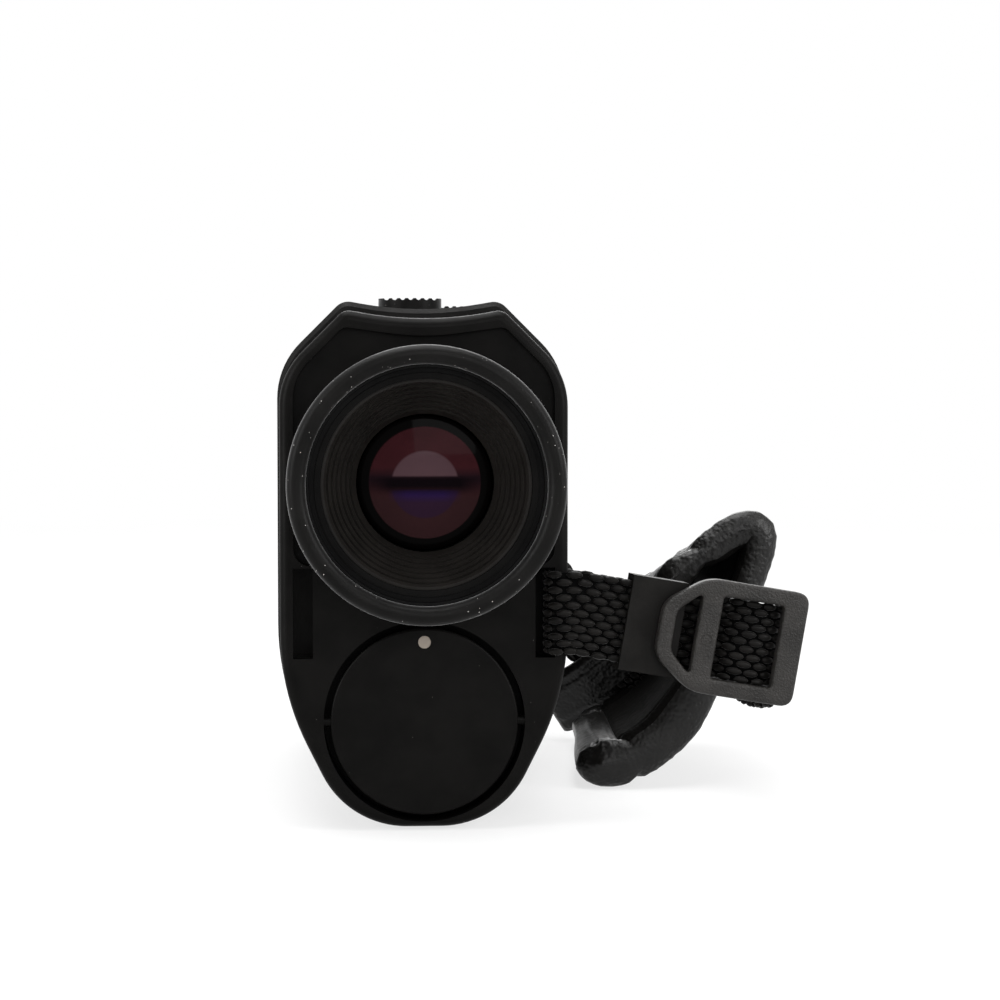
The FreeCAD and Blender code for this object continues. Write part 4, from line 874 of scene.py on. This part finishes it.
def crease(place, share, along):
    bend = math.exp(-((share - 0.22) / 0.12) ** 2) + 0.6 * math.exp(-((share - 0.9) / 0.1) ** 2)
    near_end = math.exp(-(min(along, 1 - along) / 0.10) ** 2)
    fine = noise.noise(Vector((place.x * 760, place.y * 420, place.z * 760)))
    broad = noise.noise(Vector((place.x * 110, place.y * 60, place.z * 110)) + Vector((5, 2, 8)))
    return (fine * 0.24 * (0.1 + 0.7 * bend * near_end + 0.4 * near_end) + broad * 0.22) * MM


def pad_point(share, along, side, lift=0.0):
    """A point of the pad's surface: side is 1 on the leather and -1 on the lining."""
    end = min(along, 1 - along)
    corner = 0.05 * max(0.0, 1 - end / 0.08) ** 2
    held = corner + share * (1 - 2 * corner)
    low = min(int(held * (curl_points - 1)), curl_points - 2)
    ease = along * along * (3 - 2 * along)
    middle = rear_line[low].lerp(front_line[low], ease)
    rear_step, front_step = rear_line[low + 1] - rear_line[low], front_line[low + 1] - front_line[low]
    tangent = rear_step.lerp(front_step, ease).normalized()
    outwards = Vector((-tangent.z, 0, tangent.x))
    place = middle + outwards * side * (pad_thickness(share, along) + lift)
    place.y = pad_low.y + along * (pad_high.y - pad_low.y)
    place += outwards * side * crease(place, share, along)
    place.z = max(place.z, 0.15 * MM)
    return place


def build_pad():
    """The whole pad as one closed skin: leather in the first material and lining in the second."""
    vertices, faces, inner = [], [], []
    loop = 2 * pad_steps_round
    for row in range(pad_steps_long + 1):
        along = 0.5 - 0.5 * math.cos(math.pi * row / pad_steps_long)
        for side in (1, -1):
            shares = [index / (pad_steps_round - 1) for index in range(pad_steps_round)]
            for share in (shares if side > 0 else reversed(shares)):
                vertices.append(pad_point(share, along, side))
    for row in range(pad_steps_long):
        for index in range(loop):
            here, following = row * loop + index, row * loop + (index + 1) % loop
            faces.append((here, following, following + loop, here + loop))
            edge = min(index % pad_steps_round, pad_steps_round - index % pad_steps_round) / pad_steps_round
            inner.append(index >= pad_steps_round and edge > seam_place
                         and lining_margin < row < pad_steps_long - lining_margin)
    last = pad_steps_long * loop
    for index in range(pad_steps_round - 1):
        opposite = loop - 1 - index
        faces.append((index + 1, index, opposite, opposite - 1))
        faces.append((last + index, last + index + 1, last + opposite - 1, last + opposite))
        inner += [False, False]
    mesh = bpy.data.meshes.new("leather_pad")
    mesh.from_pydata(vertices, [], faces)
    mesh.polygons.foreach_set("use_smooth", [True] * len(faces))
    mesh.polygons.foreach_set("material_index", [1 if lined else 0 for lined in inner])
    return mesh


# %% [markdown]
# ## Leather and lining
# Leather grain is a field of small rounded cells of uneven size, with finer wrinkles over it. It shines a
# little on top of the grain, because the hand has polished it there. The lining is a knitted black mesh with
# a soft sheen, and its colour is made darker still as painted shade for the inside of the curl.

# %% Leather and lining finishes
def leather_finish():
    finish = Finish("black_leather", (0.0045, 0.0042, 0.0039), 0.36, 0.24, depth=0, mottle=0.3)
    finish.bump(finish.noise(2.4 * MM, 5), 0.25 * MM)
    finish.bump(finish.cells(0.75 * MM, "SMOOTH_F1"), 0.16 * MM)
    finish.bump(finish.noise(0.25 * MM, 3), 0.03 * MM)
    return finish.material


def lining_with_painted_shade_finish():
    # The lining's own black, made darker still as painted shade inside the curl.
    finish = Finish("knitted_lining_and_painted_shade", (0.0022, 0.0020, 0.0018), 0.75, 0.03, depth=0, mottle=0.3)
    finish.bump(finish.cells(0.6 * MM), 0.12 * MM)
    return finish.material


leather_pad = bpy.data.objects.new("leather_pad", build_pad())
bpy.context.scene.collection.objects.link(leather_pad)
leather = leather_finish()
leather_pad.data.materials.append(leather)
leather_pad.data.materials.append(lining_with_painted_shade_finish())
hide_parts("strap_pad")
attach(leather_pad, "housing")
print("pad faces:", len(leather_pad.data.polygons))

# %% [markdown]
# ## Stitches
# A seam of thick thread runs round the pad, a little inside its edge. Each stitch is the same small bead as
# a float of yarn, laid on the skin and turned to point at the next one.

# %% Stitches
def stitch_line(spots, thread_length=2.0 * MM, thread=0.42 * MM):
    vertices, faces = [], []
    template, template_faces = bead_template(6, 4)
    for (place, out), (following, _) in zip(spots, spots[1:]):
        along = (following - place).normalized()
        across = along.cross(out).normalized()
        base = len(vertices)
        for x, y, z in template:
            vertices.append(place + along * (x * thread_length) + across * (y * thread) + out * (z * thread))
        faces += [tuple(base + corner for corner in face) for face in template_faces]
    return vertices, faces


def on_skin(share, along):
    place = pad_point(share, along, 1)
    return place, (pad_point(share, along, 1, 1 * MM) - place).normalized()


stitch_pitch = 2.7 * MM
stitch_vertices, stitch_faces = [], []
long_count = round((pad_high.y - pad_low.y) * 0.8 / stitch_pitch)
round_length = 95 * MM
round_count = round(round_length * 0.78 / stitch_pitch)
seams = [[on_skin(share, 0.1 + 0.8 * k / long_count) for k in range(long_count)]
         for share in (seam_place, 1 - seam_place)]
seams += [[on_skin(0.11 + 0.78 * k / round_count, along) for k in range(round_count)]
          for along in (end_seam_place, 1 - end_seam_place)]
for spots in seams:
    vertices, faces = stitch_line(spots)
    stitch_faces += [tuple(len(stitch_vertices) + corner for corner in face) for face in faces]
    stitch_vertices += vertices
stitch_mesh = bpy.data.meshes.new("pad_stitches")
stitch_mesh.from_pydata(stitch_vertices, [], stitch_faces)
stitch_mesh.shade_smooth()
stitches = bpy.data.objects.new("pad_stitches", stitch_mesh)
bpy.context.scene.collection.objects.link(stitches)
waxed_thread = Finish("waxed_thread", (0.012, 0.012, 0.012), 0.6, 0.3, depth=0.02 * MM)
stitches.data.materials.append(waxed_thread.material)
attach(stitches, "housing")
print("stitch vertices:", len(stitch_vertices))

# %% [markdown]
# ## The front tongue
# At its front end the pad runs out into a ribbed tongue of leather, which hangs down beside the casing to
# the table. It is swept along its own path, with ribs pressed into its section.

# %% Tongue
def sweep(name, frames, section):
    """A closed form that carries one section, a list of (across, out), along the frames."""
    vertices, faces, loop = [], [], len(section)
    for index, (place, along, across, out) in enumerate(frames):
        end = min(index, len(frames) - 1 - index) / 4
        size = math.sqrt(max(0.05, 1 - (1 - min(1, end)) ** 2))
        vertices += [place + across * (side * (0.9 + 0.1 * size)) + out * (rise * size)
                     for side, rise in section]
    for row in range(len(frames) - 1):
        for index in range(loop):
            here, following = row * loop + index, row * loop + (index + 1) % loop
            faces.append((here, following, following + loop, here + loop))
    faces.append(tuple(reversed(range(loop))))
    faces.append(tuple(range((len(frames) - 1) * loop, len(frames) * loop)))
    mesh = bpy.data.meshes.new(name)
    mesh.from_pydata(vertices, [], faces)
    mesh.shade_smooth()
    return mesh


tongue_half, tongue_rise = 6.6 * MM, 1.3 * MM
section_points = 72
squareness = 0.6
rib_height = 0.14


def squared(value):
    """Pushes a sine or cosine outwards, so that an oval becomes a rounded strip."""
    return math.copysign(abs(value) ** squareness, value)


tongue_section = []
for index in range(section_points):
    turn = 2 * math.pi * index / section_points
    side = squared(math.cos(turn))
    rib = 1 + rib_height * math.cos(5 * math.pi * side)
    tongue_section.append((tongue_half * side, tongue_rise * rib * squared(math.sin(turn))))
sideways = Vector((0.72, 0, -0.69))
tongue_places = [(55.5, 35.5, 27.5), (51, 38.5, 23.5), (46, 43.5, 18), (39.5, 48, 12.2),
                 (34, 51.5, 8.6), (30.5, 53.6, 6.6)]
tongue_path = [(Vector(place) * MM, sideways) for place in tongue_places]
tongue_frames = strap_frames(smooth_path(tongue_path, 0.6 * MM))
tongue = bpy.data.objects.new("pad_tongue", sweep("pad_tongue", tongue_frames, tongue_section))
bpy.context.scene.collection.objects.link(tongue)
tongue.data.materials.append(leather)
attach(tongue, "housing")

# %% [markdown]
# ## Outsides out
# A mesh built from lists may have some faces that look inwards. It doesn't show in a render, but it does
# when the mesh is used for anything else. So every new piece has its faces turned outwards, and points that
# share one place are welded, which closes the seam that a filled curve leaves round its edge.

# %% Turning the faces outwards
weld_distance = 0.0002 * MM
new_pieces = [dome, rear_webbing, front_webbing, buckle, mark, leather_pad, stitches, tongue]
for piece in new_pieces:
    form = bmesh.new()
    form.from_mesh(piece.data)
    bmesh.ops.remove_doubles(form, verts=form.verts, dist=weld_distance)
    bmesh.ops.recalc_face_normals(form, faces=form.faces)
    open_edges = sum(1 for edge in form.edges if not edge.is_manifold)
    form.to_mesh(piece.data)
    form.free()
    print(piece.name, "faces:", len(piece.data.polygons), "open edges:", open_edges)
